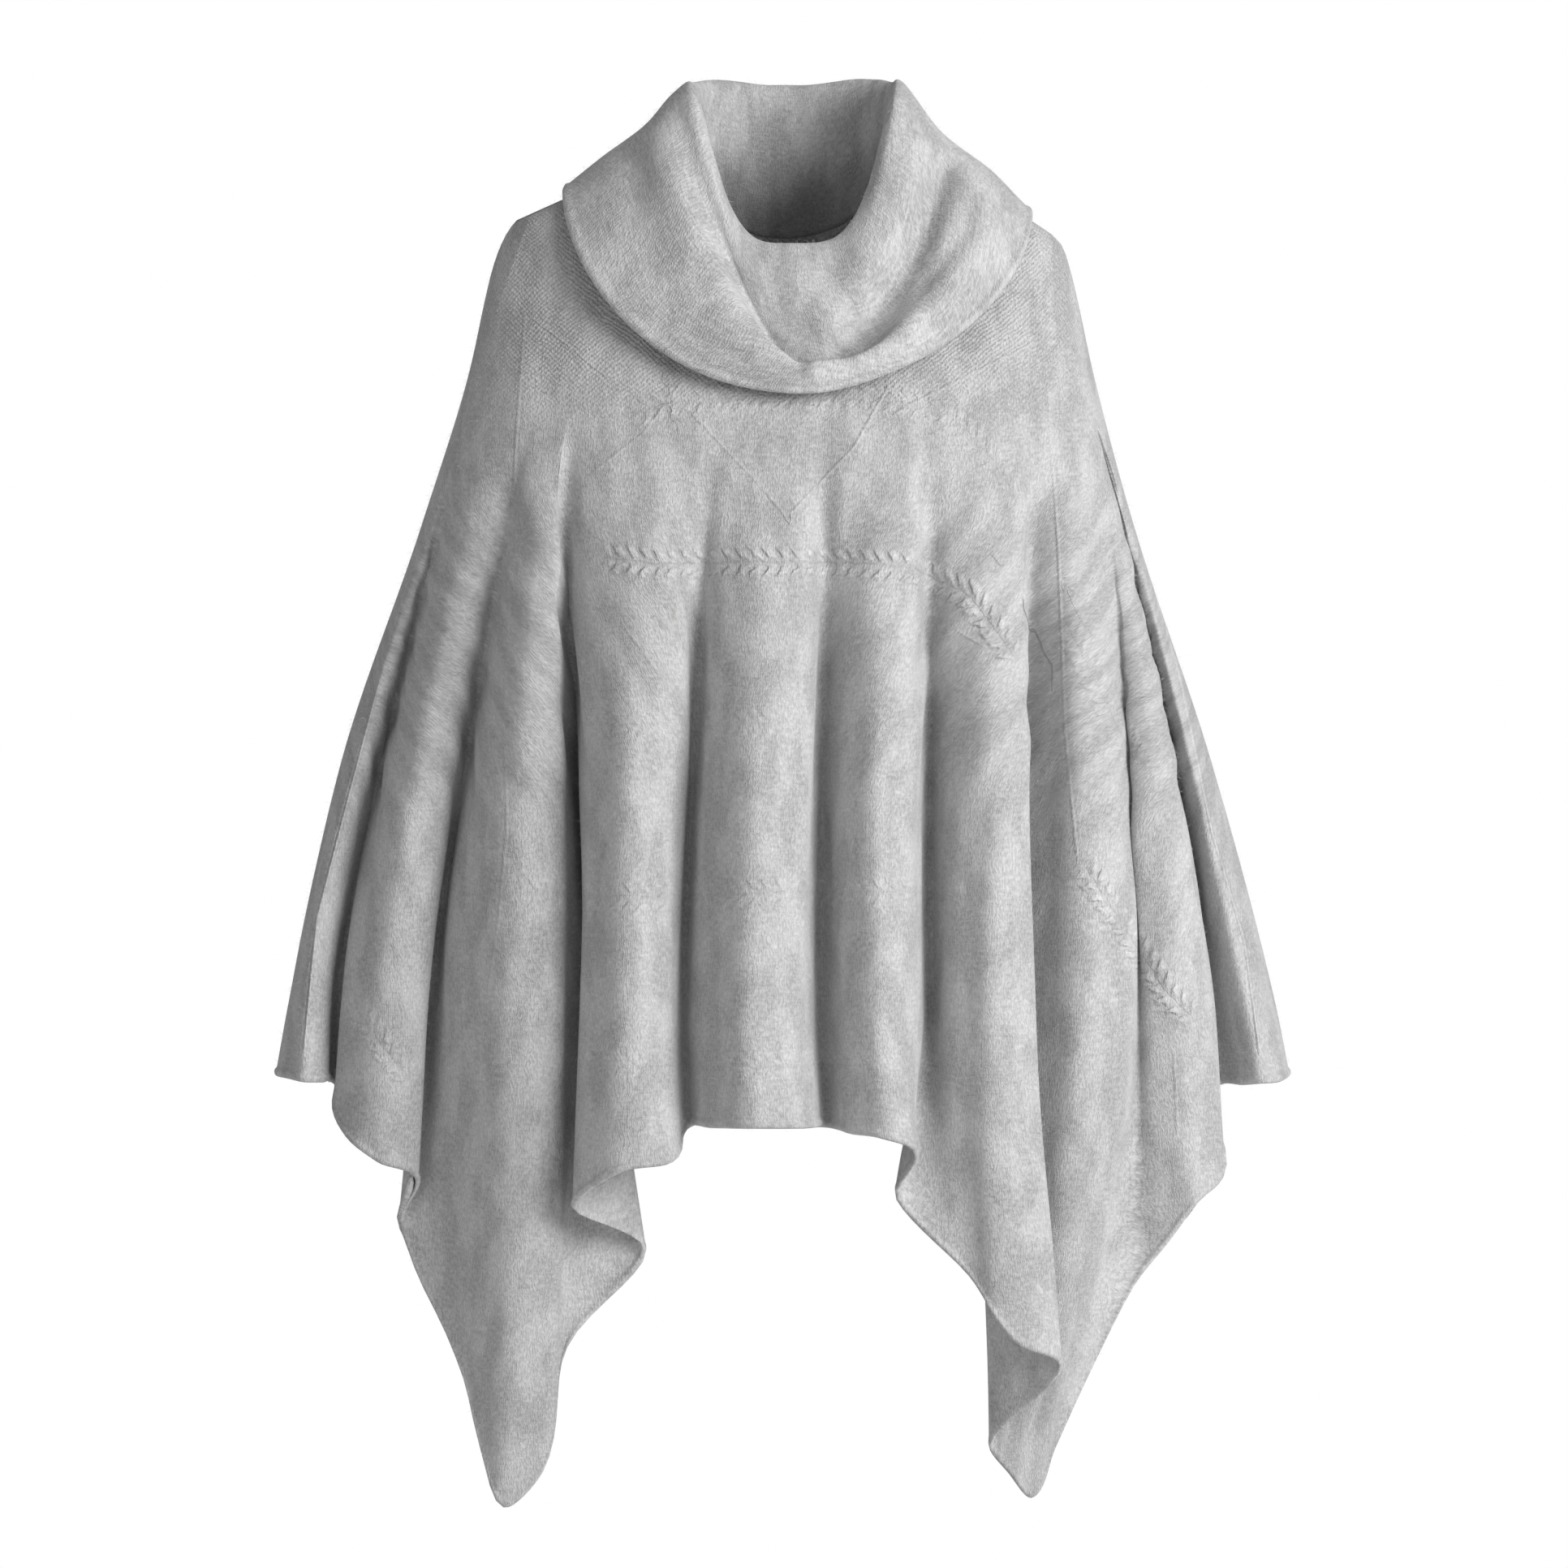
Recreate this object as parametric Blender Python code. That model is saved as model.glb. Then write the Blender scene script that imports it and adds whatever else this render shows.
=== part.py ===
"""Knitted poncho sweater: a batwing front and back, each cut in one with half of both sleeves, and a cowl collar.

Every panel is a wall of knitted cloth. Its outer points come from short tables with a row for each section,
fold or ring, in millimetres; x runs to the right, the front faces -Y, and the origin lies in the middle of the
neck at the height of the shoulder points. The finished meshes are in metres.
"""

import bmesh
import bpy
import numpy as np

MM = 0.001
GARMENT = "Knitted_poncho_sweater"

WALL = 2.0  # thickness of the brushed knit
THINNEST = 1.0  # thickness left inside the tightest folds, where the knit is squeezed
OPEN_SHARE = 0.35  # least length of the inner side of a bend, as a share of its outer side
SEAM_GAP = 0.3  # between two pieces along a seam
LAYER_GAP = 0.7  # between the front and the back where a wing's two layers lie on each other
LAYER_SPREAD = 5.0  # how far the two layers stand apart where they start to part
NECK_HALF_WIDTH = 78.0
NECK_TOP = 2.0  # height of the shoulder points beside the neck
FRONT_NECK_DROP = 102.0
BACK_NECK_DROP = 14.0
NECK_ROUNDING = 1.2  # power that turns the neckline's half circle into a slightly pointed dip
NECK_TILT = np.radians(38.0)  # slope of the wall's thickness at the shoulder points
NECK_FRONT_TILT = np.radians(14.0)  # and at the middle of the front and back neckline
SEAM_TILT = np.radians(70.0)  # and along the shoulder seams
TILT_FADE = 30.0  # distance beyond the shoulder points where it changes over
CHEST_LEVEL = -150.0  # above this the cloth is smooth, from the shoulders and the neckline down
BUST_LEVEL = -260.0
LOW_LEVEL = -600.0
CUFF_LEVEL = -652.0  # lower end of the overarm seam
FOLDS_START = -170.0  # the folds deepen from here
FOLDS_FULL = -560.0  # to here
WING_SEWN_TO = -600.0  # below this the two layers of a wing lie on each other
WING_OPEN_FROM = -380.0  # above this the back hangs free of the front
TOP_SPREAD = 0.70  # place of a fold on the shoulder, as a share of its place at the bust
FOLD_SHOULDER = 0.66  # height of a ridge's two edges, from its trough up to its crest
SQUARENESS = 2.6  # power of the rounded outline of a level section
BAND_FADE = 10.0  # distance over which a cable rises at its two ends
EDGE_DROP = 4.0  # how much lower than the outermost ridge the cloth beside it ends
SLEEVE_POINTS = 4  # control points from the overarm seam to the underarm trough
WING_POINTS = 10  # control points from the overarm seam to the hem's tip
STEPS = 2  # surface points for each control point across
TOP_ROWS = 4
TOP_CROWDING = 1.2  # power that draws those rows up towards the seam
HEM_ROWS = 6
LEVEL_STEP = 60.0  # most between two rows
COLLAR_STEPS = 2
COLLAR_TURN = np.radians(11.0)  # most between two columns of the collar
THINNING = 0.9  # a tight fold's wall is thinned by this share, as many times as it needs
THINNING_ROUNDS = 16
EVENING = 0.6  # share of the way that a point moves to the middle of its neighbours
BACK_EVENING_ROUNDS = 4
COLLAR_EVENING_ROUNDS = 3

# A level section of the garment: height, reach to the left, right, front and back of the neck's axis.
SECTIONS = np.array(
    [
        (2, 78, 78, 22, 30),
        (-12, 118, 115, 36, 48),
        (-27, 160, 150, 46, 60),
        (-41, 191, 176, 54, 70),
        (-58, 202, 198, 62, 78),
        (-78, 209, 205, 71, 86),
        (-99, 214, 210, 80, 93),
        (-150, 225, 221, 104, 104),
        (-260, 259, 250, 140, 116),
        (-430, 317, 306, 151, 126),
        (-600, 354, 351, 160, 136),
        (-660, 365, 363, 162, 138),
    ],
    float,
)

# A fold of the front, from left to right. Ridges have a width and troughs have none. The columns are its place
# at the bust, low down and at the hem, its width at those three levels, how far it reaches forward low down
# and at the hem, how far the back reaches backward there, and the height of its lower end.
FRONT_FOLDS = (
    ("sleeve_left", -252, -338, -341, 9, 24, 26, 43, 40, 38, -655),
    ("underarm_left", -243, -318, -322, 0, 0, 0, 8, 5, 32, -657),
    ("wing_left", -222, -282, -289, 28, 56, 56, 68, 52, 62, -711),
    ("wing_turn_left", -193, -253, -275, 0, 0, 0, 30, 20, 45, -766),
    ("tip_left", -169, -189, -197, 27, 72, 76, 108, 46, 86, -957),
    ("turn_left", -144, -120, -98, 0, 0, 0, 52, 62, 0, -773),
    ("panel_left", -95, -105, -110, 70, 58, 70, 146, 140, 0, -722),
    ("trough_left", -42, -61, -62, 0, 0, 0, 96, 100, 0, -690),
    ("panel_middle", -2, -13, -15, 56, 65, 68, 159, 160, 0, -690),
    ("trough_right", 40, 34, 34, 0, 0, 0, 100, 102, 0, -690),
    ("panel_right", 76, 72, 72, 48, 46, 50, 151, 146, 0, -698),
    ("turn_right", 112, 112, 77, 0, 0, 0, 88, 98, 0, -737),
    ("panel_far_right", 152, 153, 164, 50, 57, 66, 134, 112, 0, -834),
    ("tip_turn_right", 184, 158, 150, 0, 0, 0, 52, 52, 0, -914),
    ("tip_right", 199, 211, 178, 15, 58, 40, 92, 40, 86, -951),
    ("wing_turn_right", 212, 246, 249, 0, 0, 0, 58, 30, 45, -800),
    ("wing_right", 224, 278, 294, 11, 50, 40, 74, 52, 62, -742),
    ("underarm_right", 233, 307, 320, 0, 0, 0, 8, 5, 32, -660),
    ("sleeve_right", 241, 328, 339, 8, 26, 26, 43, 40, 38, -656),
)

# A fold of the back between the two tips, with the same columns but one: no wing lies behind it.
BACK_FOLDS = (
    ("trough_far_left", -135, -148, -150, 0, 0, 0, 62, 56, -770),
    ("panel_left", -93, -105, -106, 56, 60, 62, 124, 118, -706),
    ("trough_left", -47, -53, -54, 0, 0, 0, 94, 96, -673),
    ("panel_middle", 2, 0, 0, 56, 62, 62, 138, 138, -668),
    ("trough_right", 50, 54, 55, 0, 0, 0, 92, 94, -673),
    ("panel_right", 97, 107, 108, 56, 60, 62, 122, 118, -705),
    ("trough_far_right", 138, 152, 152, 0, 0, 0, 62, 56, -766),
)

# A cable knitted across the front: its height above the cloth, its level, half its width up and down, and where
# it starts and ends. The two upper ones are plaits and the two lower ones are soft swells.
CABLE_BANDS = (
    ("yoke", 2.0, -178, 12, -114, 118),
    ("bust", 2.6, -293, 12, -131, 122),
    ("waist", 1.2, -406, 50, -190, 112),
    ("hip", 1.2, -522, 50, -190, 112),
)

# A ring of the collar, from the neckline up, over its roll and down to the flap's edge: place, height and reach
# at the front, reach and height at the right, back and left, the sharpness of its dip to the right and left,
# how straight it falls at the sides, and the squareness of its plan.
COLLAR_RINGS = np.array(
    [
        (0, -84, 78, 76, 20, 54, 16, 75, 22, 3.8, 3.0, 1.0, 0.90),
        (4, -64, 76, 75, 39, 58, 33, 69, 35, 4.0, 3.5, 1.0, 0.90),
        (5, -66, 85, 79, 52, 62, 45, 65, 46, 4.5, 3.2, 1.0, 0.86),
        (10, -100, 106, 90, 60, 70, 51, 64, 58, 4.6, 2.9, 1.0, 0.82),
        (22, -154, 117, 116, 15, 78, 51, 76, 54, 2.1, 1.9, 1.0, 0.90),
        (20, -147, 132, 152, -9, 88, 38, 90, 46, 2.4, 1.7, 1.0, 0.85),
        (14, -160, 134, 167, -25, 98, 0, 118, 15, 1.5, 1.5, 0.7, 0.72),
        (11, -167, 128, 177, -33, 108, -75, 158, -17, 1.2, 1.2, 0.5, 0.56),
    ],
    float,
)


def smoothstep(value, start, end):
    share = np.clip((value - start) / (end - start), 0.0, 1.0)
    return share * share * (3.0 - 2.0 * share)


def blended(first, second, share):
    return first + (second - first) * share


def unit(vectors):
    return vectors / np.linalg.norm(vectors, axis=-1, keepdims=True)


def through(knots, values, at):
    """A smooth curve through values at falling knots, with no overshoot between them."""
    knots = -np.asarray(knots, float)
    values = np.asarray(values, float)
    steps = np.diff(knots)
    slopes = np.diff(values) / steps
    tangents = np.concatenate([slopes[:1], slopes[:-1] * 0.0, slopes[-1:]])
    same_way = slopes[:-1] * slopes[1:] > 0
    inner = np.where(same_way, 2.0 * slopes[:-1] * slopes[1:], 0.0)
    tangents[1:-1] = inner / np.where(same_way, slopes[:-1] + slopes[1:], 1.0)
    at = np.clip(-np.asarray(at, float), knots[0], knots[-1])
    index = np.clip(np.searchsorted(knots, at, side="right") - 1, 0, len(steps) - 1)
    share = (at - knots[index]) / steps[index]
    start = (1 + 2 * share) * (1 - share) ** 2 * values[index]
    start += share * (1 - share) ** 2 * steps[index] * tangents[index]
    end = share**2 * (3 - 2 * share) * values[index + 1]
    end += share**2 * (share - 1) * steps[index] * tangents[index + 1]
    return start + end


def refined(points, steps, ends):
    """Points along the smooth curves through each row of points, with the neighbours before and after it."""
    whole = np.concatenate([ends[0][:, None], points, ends[1][:, None]], axis=1)
    spans = np.sqrt(np.linalg.norm(np.diff(whole, axis=1), axis=2))[..., None] + 1e-6
    slopes = np.diff(whole, axis=1) / spans
    before, after = spans[:, :-1], spans[:, 1:]
    tangents = (slopes[:, 1:] * before + slopes[:, :-1] * after) / (before + after)
    spans = spans[:, 1:-1]
    columns = []
    for step in range(steps):
        share = step / steps
        column = (1 + 2 * share) * (1 - share) ** 2 * points[:, :-1]
        column = column + share * (1 - share) ** 2 * spans * tangents[:, :-1]
        column = column + share**2 * (3 - 2 * share) * points[:, 1:]
        column = column + share**2 * (share - 1) * spans * tangents[:, 1:]
        columns.append(column)
    fine = np.stack(columns, axis=2).reshape(len(points), -1, 3)
    return np.concatenate([fine, points[:, -1:]], axis=1)


def half_width(x, z):
    heights = SECTIONS[:, 0]
    return np.where(x < 0, through(heights, SECTIONS[:, 1], z), through(heights, SECTIONS[:, 2], z))


def envelope(x, z, facing):
    """How far the smooth body of the garment reaches forward or backward at x and z."""
    reach = through(SECTIONS[:, 0], SECTIONS[:, 3 if facing < 0 else 4], z)
    across = np.clip(np.abs(x) / half_width(x, z), 0.0, 1.0)
    return reach * (1.0 - across**SQUARENESS) ** (1.0 / SQUARENESS)


def top_edge(x, facing):
    """The upper edge of a panel: the shoulder seams, and the neckline between the shoulder points."""
    x = np.asarray(x, float)
    tops = SECTIONS[:4]
    left = np.interp(np.abs(x), tops[:, 1], tops[:, 0])
    right = np.interp(np.abs(x), tops[:, 2], tops[:, 0])
    shoulder = np.where(x < 0, left, right)
    dip = np.sqrt(np.clip(1.0 - (x / NECK_HALF_WIDTH) ** 2, 0.0, 1.0)) ** NECK_ROUNDING
    drop = FRONT_NECK_DROP if facing < 0 else BACK_NECK_DROP
    in_neck = np.abs(x) < NECK_HALF_WIDTH
    z = np.where(in_neck, NECK_TOP - drop * dip, shoulder)
    y = np.where(in_neck, facing * envelope(x, z, facing), 0.0)
    return np.stack([x, y, z], axis=-1)


def top_normal(x, facing):
    """The way the wall's thickness runs along that edge, the same for the panel and for what is sewn to it."""
    x = np.asarray(x, float)
    side = np.clip(x / NECK_HALF_WIDTH, -1.0, 1.0)
    ahead = np.sqrt(1.0 - side**2)
    tilt = blended(NECK_TILT, NECK_FRONT_TILT, ahead)
    beyond = smoothstep(np.abs(x), NECK_HALF_WIDTH, NECK_HALF_WIDTH + TILT_FADE)
    tilt = blended(tilt, SEAM_TILT, beyond)
    return np.stack([side * np.cos(tilt), facing * ahead * np.cos(tilt), np.sin(tilt)], axis=-1)


def neck_rise(x, facing):
    """The way from the panel to the collar along the neckline, square to the wall's thickness."""
    normal = top_normal(x, facing)
    up = np.array([0.0, 0.0, 1.0])
    return unit(up - normal * normal[..., 2:])


def control_lines(folds):
    """Every fold as one line at a trough, or as three across a ridge: place at three levels, reach and lower end."""
    lines = []
    for index, fold in enumerate(folds):
        bust, low, hem, bust_width, width, hem_width, reach, hem_reach, drop = fold
        beyond = (0, 0, 0, 0, 0, 0, 0, 0, drop + EDGE_DROP)
        if not width:
            lines.append((bust, low, hem, reach, hem_reach, drop))
            continue
        for side, neighbour in ((-1, index - 1), (0, index), (1, index + 1)):
            near = folds[neighbour] if 0 <= neighbour < len(folds) else beyond
            share = FOLD_SHOULDER if side else 1.0
            lines.append(
                (
                    bust + side * 0.5 * bust_width,
                    low + side * 0.5 * width,
                    hem + side * 0.5 * hem_width,
                    blended(near[6], reach, share),
                    blended(near[7], hem_reach, share),
                    blended(near[8], drop, share),
                )
            )
    return lines


def levels():
    """The heights of the rows between the chest and the low level: on each cable, beside it, and in between."""
    fixed = {CHEST_LEVEL, LOW_LEVEL}
    for _, _, level, half, _, _ in CABLE_BANDS:
        fixed |= {level - half, level, level + half} if half < 0.5 * LEVEL_STEP else {level}
    fixed = sorted(fixed, reverse=True)
    rows = []
    for upper, lower in zip(fixed, fixed[1:]):
        count = int(np.ceil((upper - lower) / LEVEL_STEP))
        rows.extend(np.linspace(upper, lower, count + 1)[:-1])
    return rows + [LOW_LEVEL]


def row_heights(top, drop):
    down = np.linspace(0.0, 1.0, TOP_ROWS + 1)[:-1] ** TOP_CROWDING
    upper = blended(top, CHEST_LEVEL, down)
    lower = blended(LOW_LEVEL, drop, np.linspace(0.0, 1.0, HEM_ROWS + 1)[1:])
    return np.concatenate([upper, levels(), lower])


def line_points(line, facing):
    """One control line from the top edge to the hem."""
    bust, low, hem, reach, hem_reach, drop = line
    start = top_edge(TOP_SPREAD * bust, facing)
    z = row_heights(start[2], drop)
    x = through((start[2], BUST_LEVEL, LOW_LEVEL, drop), (start[0], bust, low, hem), z)
    lowered = np.clip((z - LOW_LEVEL) / (drop - LOW_LEVEL), 0.0, 1.0)
    folded = blended(reach, hem_reach, lowered)
    depth = smoothstep(z, FOLDS_START, FOLDS_FULL)
    y = facing * blended(envelope(x, z, facing), folded, depth)
    return np.stack([x, y, z], axis=-1)


def seam_points(side):
    """The overarm seam, from the shoulder's end down the outside of the arm to the cuff."""
    z = row_heights(SECTIONS[3, 0], CUFF_LEVEL)
    return np.stack([side * half_width(side, z), 0.0 * z, z], axis=-1)


def panel_grid(lines, facing):
    """The outer points of a panel, a row for each level and a column for each step across."""
    columns = [seam_points(-1.0)]
    columns += [line_points(line, facing) for line in lines]
    columns.append(seam_points(1.0))
    points = np.stack(columns, axis=1)
    mirrored = np.array([1.0, -1.0, 1.0])
    grid = refined(points, STEPS, (points[:, 1] * mirrored, points[:, -2] * mirrored))
    across = grid[0, :, 0].copy()
    for side in (-1.0, 1.0):
        across[np.argmin(np.abs(across - side * NECK_HALF_WIDTH))] = side * NECK_HALF_WIDTH
    grid[0] = top_edge(across, facing)
    return grid


def grid_normals(grid, facing):
    """The outward way at each point, halfway between the slopes of the cloth on its two sides."""
    steps = unit(np.diff(grid, axis=0))
    down = unit(np.concatenate([steps[:1], steps]) + np.concatenate([steps, steps[-1:]]))
    steps = np.diff(grid, axis=1)
    before = np.concatenate([steps[:, :1], steps], axis=1)
    after = np.concatenate([steps, steps[:, -1:]], axis=1)
    level = [unit(step - down * (step * down).sum(-1, keepdims=True)) for step in (before, after)]
    return unit(np.cross(level[0] + level[1], down) * facing)


def finish_edges(outer, normals, facing):
    """Square the wall's edges along the seams, and set each a half gap back from its neighbour."""
    across = outer[0, :, 0]
    in_neck = np.abs(across) < NECK_HALF_WIDTH - 1e-6
    normals[0] = top_normal(across, facing)
    for column in (0, -1):
        normals[:, column, 1] = 0.0
    normals[:] = unit(normals)
    rise = neck_rise(across, facing)
    outer[0, in_neck] -= 0.5 * SEAM_GAP * rise[in_neck]
    outer[0, ~in_neck, 1] = facing * 0.5 * SEAM_GAP
    outer[:, [0, -1], 1] = facing * 0.5 * SEAM_GAP
    return outer, normals


def squeezed(surface, normals, least, most):
    """How far behind each point the wall's other side lies, less where a tight fold leaves it no room."""
    depth = np.full(surface.shape[:2], most)
    for _ in range(THINNING_ROUNDS):
        other = surface - depth[..., None] * normals
        tight = np.zeros(depth.shape, bool)
        for axis in (0, 1):
            steps = np.diff(surface, axis=axis)
            share = (np.diff(other, axis=axis) * steps).sum(-1) / (steps**2).sum(-1)
            near = np.moveaxis(tight, axis, 0)
            crossed = np.moveaxis(share < OPEN_SHARE, axis, 0)
            near[:-1] |= crossed
            near[1:] |= crossed
        depth = np.where(tight, np.maximum(least, THINNING * depth), depth)
    return depth


def cable_height(points):
    """How far the cables across the front stand above the cloth."""
    height = np.zeros(points.shape[:2])
    x, _, z = np.moveaxis(points, 2, 0)
    for _, rise, level, half, start, end in CABLE_BANDS:
        near = np.clip(1.0 - np.abs(z - level) / half, 0.0, 1.0)
        inside = smoothstep(x, start - BAND_FADE, start) * smoothstep(-x, -end - BAND_FADE, -end)
        height = np.maximum(height, rise * near * inside)
    return height


def front_walls():
    """The raised shown side, the plain outer and inner sides, and the outward ways of the front."""
    outer = panel_grid(control_lines([fold[1:9] + fold[10:] for fold in FRONT_FOLDS]), -1.0)
    outer, normals = finish_edges(outer, grid_normals(outer, -1.0), -1.0)
    raised = outer + normals * cable_height(outer)[..., None]
    depth = squeezed(outer, normals, THINNEST, WALL)[..., None]
    return raised, outer, outer - depth * normals, normals


def evened(grid, amount, rounds):
    """The same grid, with its points evened out across where the amount is above 0."""
    for _ in range(rounds):
        between = 0.5 * (grid[:, :-2] + grid[:, 2:])
        grid[:, 1:-1] = blended(grid[:, 1:-1], between, EVENING * amount[:, 1:-1])
    return grid


def back_walls(front, front_normals):
    """The back hangs free above, and its wings follow the front's down to their shared seam."""
    sides = [fold[1:7] + (fold[9], fold[9], fold[10]) for fold in FRONT_FOLDS]
    wing_left = control_lines(sides[:5])[: WING_POINTS - 1]
    wing_right = control_lines(sides[-5:])[-(WING_POINTS - 1) :]
    tips = [fold[:3] + (0, 0, 0) + fold[6:] for fold in (sides[4], sides[-5])]
    middle = control_lines([tips[0]] + [fold[1:] for fold in BACK_FOLDS] + [tips[1]])
    outer = panel_grid(wing_left + middle + wing_right, 1.0)
    held, thickness, freedom = sewn_wings(outer, front, front_normals)
    leaving = smoothstep(freedom, 0.06, 0.2) * smoothstep(1.0 - freedom, 0.0, 0.3)
    outer = evened(blended(held, outer, freedom), leaving, BACK_EVENING_ROUNDS)
    outer, normals = finish_edges(outer, grid_normals(outer, 1.0), 1.0)
    hanging = -squeezed(outer, normals, THINNEST, WALL)[..., None] * normals
    return outer, outer + blended(thickness, hanging, smoothstep(freedom, 0.0, 0.2))


def sewn_wings(outer, front, front_normals):
    """Where the back's two sides lie against the front, the way through their thickness, and how free they hang."""
    count = outer.shape[1]
    free = smoothstep(front[..., 2], WING_SEWN_TO, WING_OPEN_FROM)
    gap = LAYER_GAP + LAYER_SPREAD * smoothstep(free, 0.0, 0.15)
    gap[-1] = SEAM_GAP
    first = squeezed(front, front_normals, THINNEST, WALL)
    second = squeezed(front, front_normals, 2.0 * THINNEST, 2.0 * WALL)
    held = outer.copy()
    thickness = np.zeros_like(outer)
    freedom = np.ones(outer.shape[:2] + (1,))
    for column in range((WING_POINTS + 1) * STEPS):
        for own, other in ((column, column), (count - 1 - column, front.shape[1] - 1 - column)):
            place = column / STEPS
            near = smoothstep(place, SLEEVE_POINTS - 0.5, SLEEVE_POINTS)
            near = near * (1.0 - smoothstep(place, WING_POINTS, WING_POINTS + 1.0))
            freedom[:, own, 0] = 1.0 - near * (1.0 - free[:, other])
            normals = front_normals[:, other]
            held[:, own] = front[:, other] - (second + gap)[:, other, None] * normals
            thickness[:, own] = (second - first)[:, other, None] * normals
    return held, thickness, freedom


def collar_ring(row, side, ahead):
    """One ring of the collar at each angle, given as its shares to the right and to the front."""
    front_x, front_z, front, right, right_z, back, back_z, left, left_z = row[:9]
    dip_right, dip_left, fall_power, plan = row[9:]
    reach = np.where(side > 0, right, left)
    side_z = np.where(side > 0, right_z, left_z)
    dip = np.where(side > 0, dip_right, dip_left)
    facing_front = ahead > 0
    x = side * reach + np.where(facing_front, front_x * ahead**2, 0.0)
    y = np.where(facing_front, -front, back) * np.abs(ahead) ** plan
    end_z = np.where(facing_front, front_z, back_z)
    fall = (1.0 - np.abs(side) ** np.where(facing_front, dip, 2.0)) ** np.where(facing_front, fall_power, 1.0)
    return np.stack([x, y, blended(side_z, end_z, fall)], axis=-1)


def neck_columns(front, back):
    """Points on the panels' own edges round the neck, with more where they are far apart, and their angles."""
    across_front = front[0, :, 0]
    across_back = back[0, :, 0][::-1]
    corners = [(x, -1.0) for x in across_front if abs(x) < NECK_HALF_WIDTH + 1e-3]
    corners += [(x, 1.0) for x in across_back if abs(x) < NECK_HALF_WIDTH - 1e-3]
    corners.append(corners[0])
    edges = [np.concatenate([top_edge(*one), top_normal(*one), neck_rise(*one)]) for one in corners]
    side = np.array([x for x, _ in corners]) / NECK_HALF_WIDTH
    ahead = -np.array([facing for _, facing in corners]) * np.sqrt(np.clip(1.0 - side**2, 0.0, 1.0))
    turn = np.unwrap(np.arctan2(side, ahead))
    columns, angles = [], []
    for start, end, first, last in zip(edges, edges[1:], turn, turn[1:]):
        count = int(np.ceil((last - first) / COLLAR_TURN))
        for step in range(count):
            columns.append(blended(start, end, step / count))
            angles.append(blended(first, last, step / count))
    return np.array(columns), np.array(angles)


def collar_walls(front, back):
    """The collar rises from the neckline, rolls over and falls as a flap; its shown side comes first."""
    columns, angles = neck_columns(front, back)
    edge, normal, rise = columns[:, :3], unit(columns[:, 3:6]), unit(columns[:, 6:])
    side, ahead = np.sin(angles), np.cos(angles)
    under_edge = edge + 0.5 * SEAM_GAP * rise
    rings = [under_edge - WALL * normal]
    rings += [collar_ring(row, side, ahead) for row in COLLAR_RINGS]
    points = np.stack(rings, axis=1)
    ends = (2 * points[:, 0] - points[:, 1], 2 * points[:, -1] - points[:, -2])
    shown = refined(points, COLLAR_STEPS, ends).transpose(1, 0, 2)
    wrapped = np.concatenate([shown[:, -1:], shown, shown[:, :1]], axis=1)
    wrapped_normals = grid_normals(wrapped, 1.0)
    if (wrapped_normals[1, 1:-1] * normal).sum() < 0:
        wrapped_normals = -wrapped_normals
    depth = squeezed(wrapped, -wrapped_normals, THINNEST, WALL)[..., None]
    under = wrapped + depth * wrapped_normals
    under = evened(under, smoothstep(WALL - depth, 0.0, 0.2), COLLAR_EVENING_ROUNDS)[:, 1:-1]
    under[0] = under_edge
    return shown, under


def wall_mesh(name, outer, inner, closed):
    """A closed wall between two grids of the same size, joined round their edges."""
    rows, columns = outer.shape[:2]
    mesh = bmesh.new()
    sides = []
    for grid in (outer, inner):
        sides.append([[mesh.verts.new(point * MM) for point in row] for row in grid])
    last = columns if closed else columns - 1
    for verts in sides:
        for row in range(rows - 1):
            for column in range(last):
                ahead = (column + 1) % columns
                upper, lower = verts[row], verts[row + 1]
                corners = [upper[column], upper[ahead], lower[ahead], lower[column]]
                if column >= columns // 2:
                    corners = corners[1:] + corners[:1]
                mesh.faces.new(corners[:3])
                mesh.faces.new([corners[0], corners[2], corners[3]])
    edges = [[(row, column) for column in range(columns)] for row in (0, rows - 1)]
    if closed:
        edges = [edge + edge[:1] for edge in edges]
    else:
        edges += [[(row, column) for row in range(rows)] for column in (0, columns - 1)]
    for edge in edges:
        for (row, column), (next_row, next_column) in zip(edge, edge[1:]):
            first, second = sides[0][row][column], sides[0][next_row][next_column]
            third, fourth = sides[1][next_row][next_column], sides[1][row][column]
            mesh.faces.new((first, second, third))
            mesh.faces.new((first, third, fourth))
    bmesh.ops.recalc_face_normals(mesh, faces=mesh.faces)
    data = bpy.data.meshes.new(name)
    mesh.to_mesh(data)
    mesh.free()
    data.shade_smooth()
    return data


def knit_material(name, colour, roughness):
    material = bpy.data.materials.new(name)
    material.use_nodes = True
    shader = material.node_tree.nodes["Principled BSDF"]
    shader.inputs["Base Color"].default_value = (*colour, 1.0)
    shader.inputs["Roughness"].default_value = roughness
    shader.inputs["Metallic"].default_value = 0.0
    return material


def add_piece(collection, name, outer, inner, closed, material):
    piece = bpy.data.objects.new(name, wall_mesh(name, outer, inner, closed))
    piece.data.materials.append(material)
    collection.objects.link(piece)


def build():
    for old in list(bpy.data.objects):
        bpy.data.objects.remove(old, do_unlink=True)
    collection = bpy.data.collections.new(GARMENT)
    bpy.context.scene.collection.children.link(collection)
    brushed = knit_material("brushed_wool_knit", (0.47, 0.47, 0.48), 0.95)
    plain = knit_material("plain_wool_knit", (0.45, 0.45, 0.46), 0.95)
    raised, front, front_inner, normals = front_walls()
    back, back_inner = back_walls(front, normals)
    shown, under = collar_walls(front, back)
    add_piece(collection, "front", raised, front_inner, False, brushed)
    add_piece(collection, "back", back, back_inner, False, brushed)
    add_piece(collection, "collar", shown, under, True, plain)


build()
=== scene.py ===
import math

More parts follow.
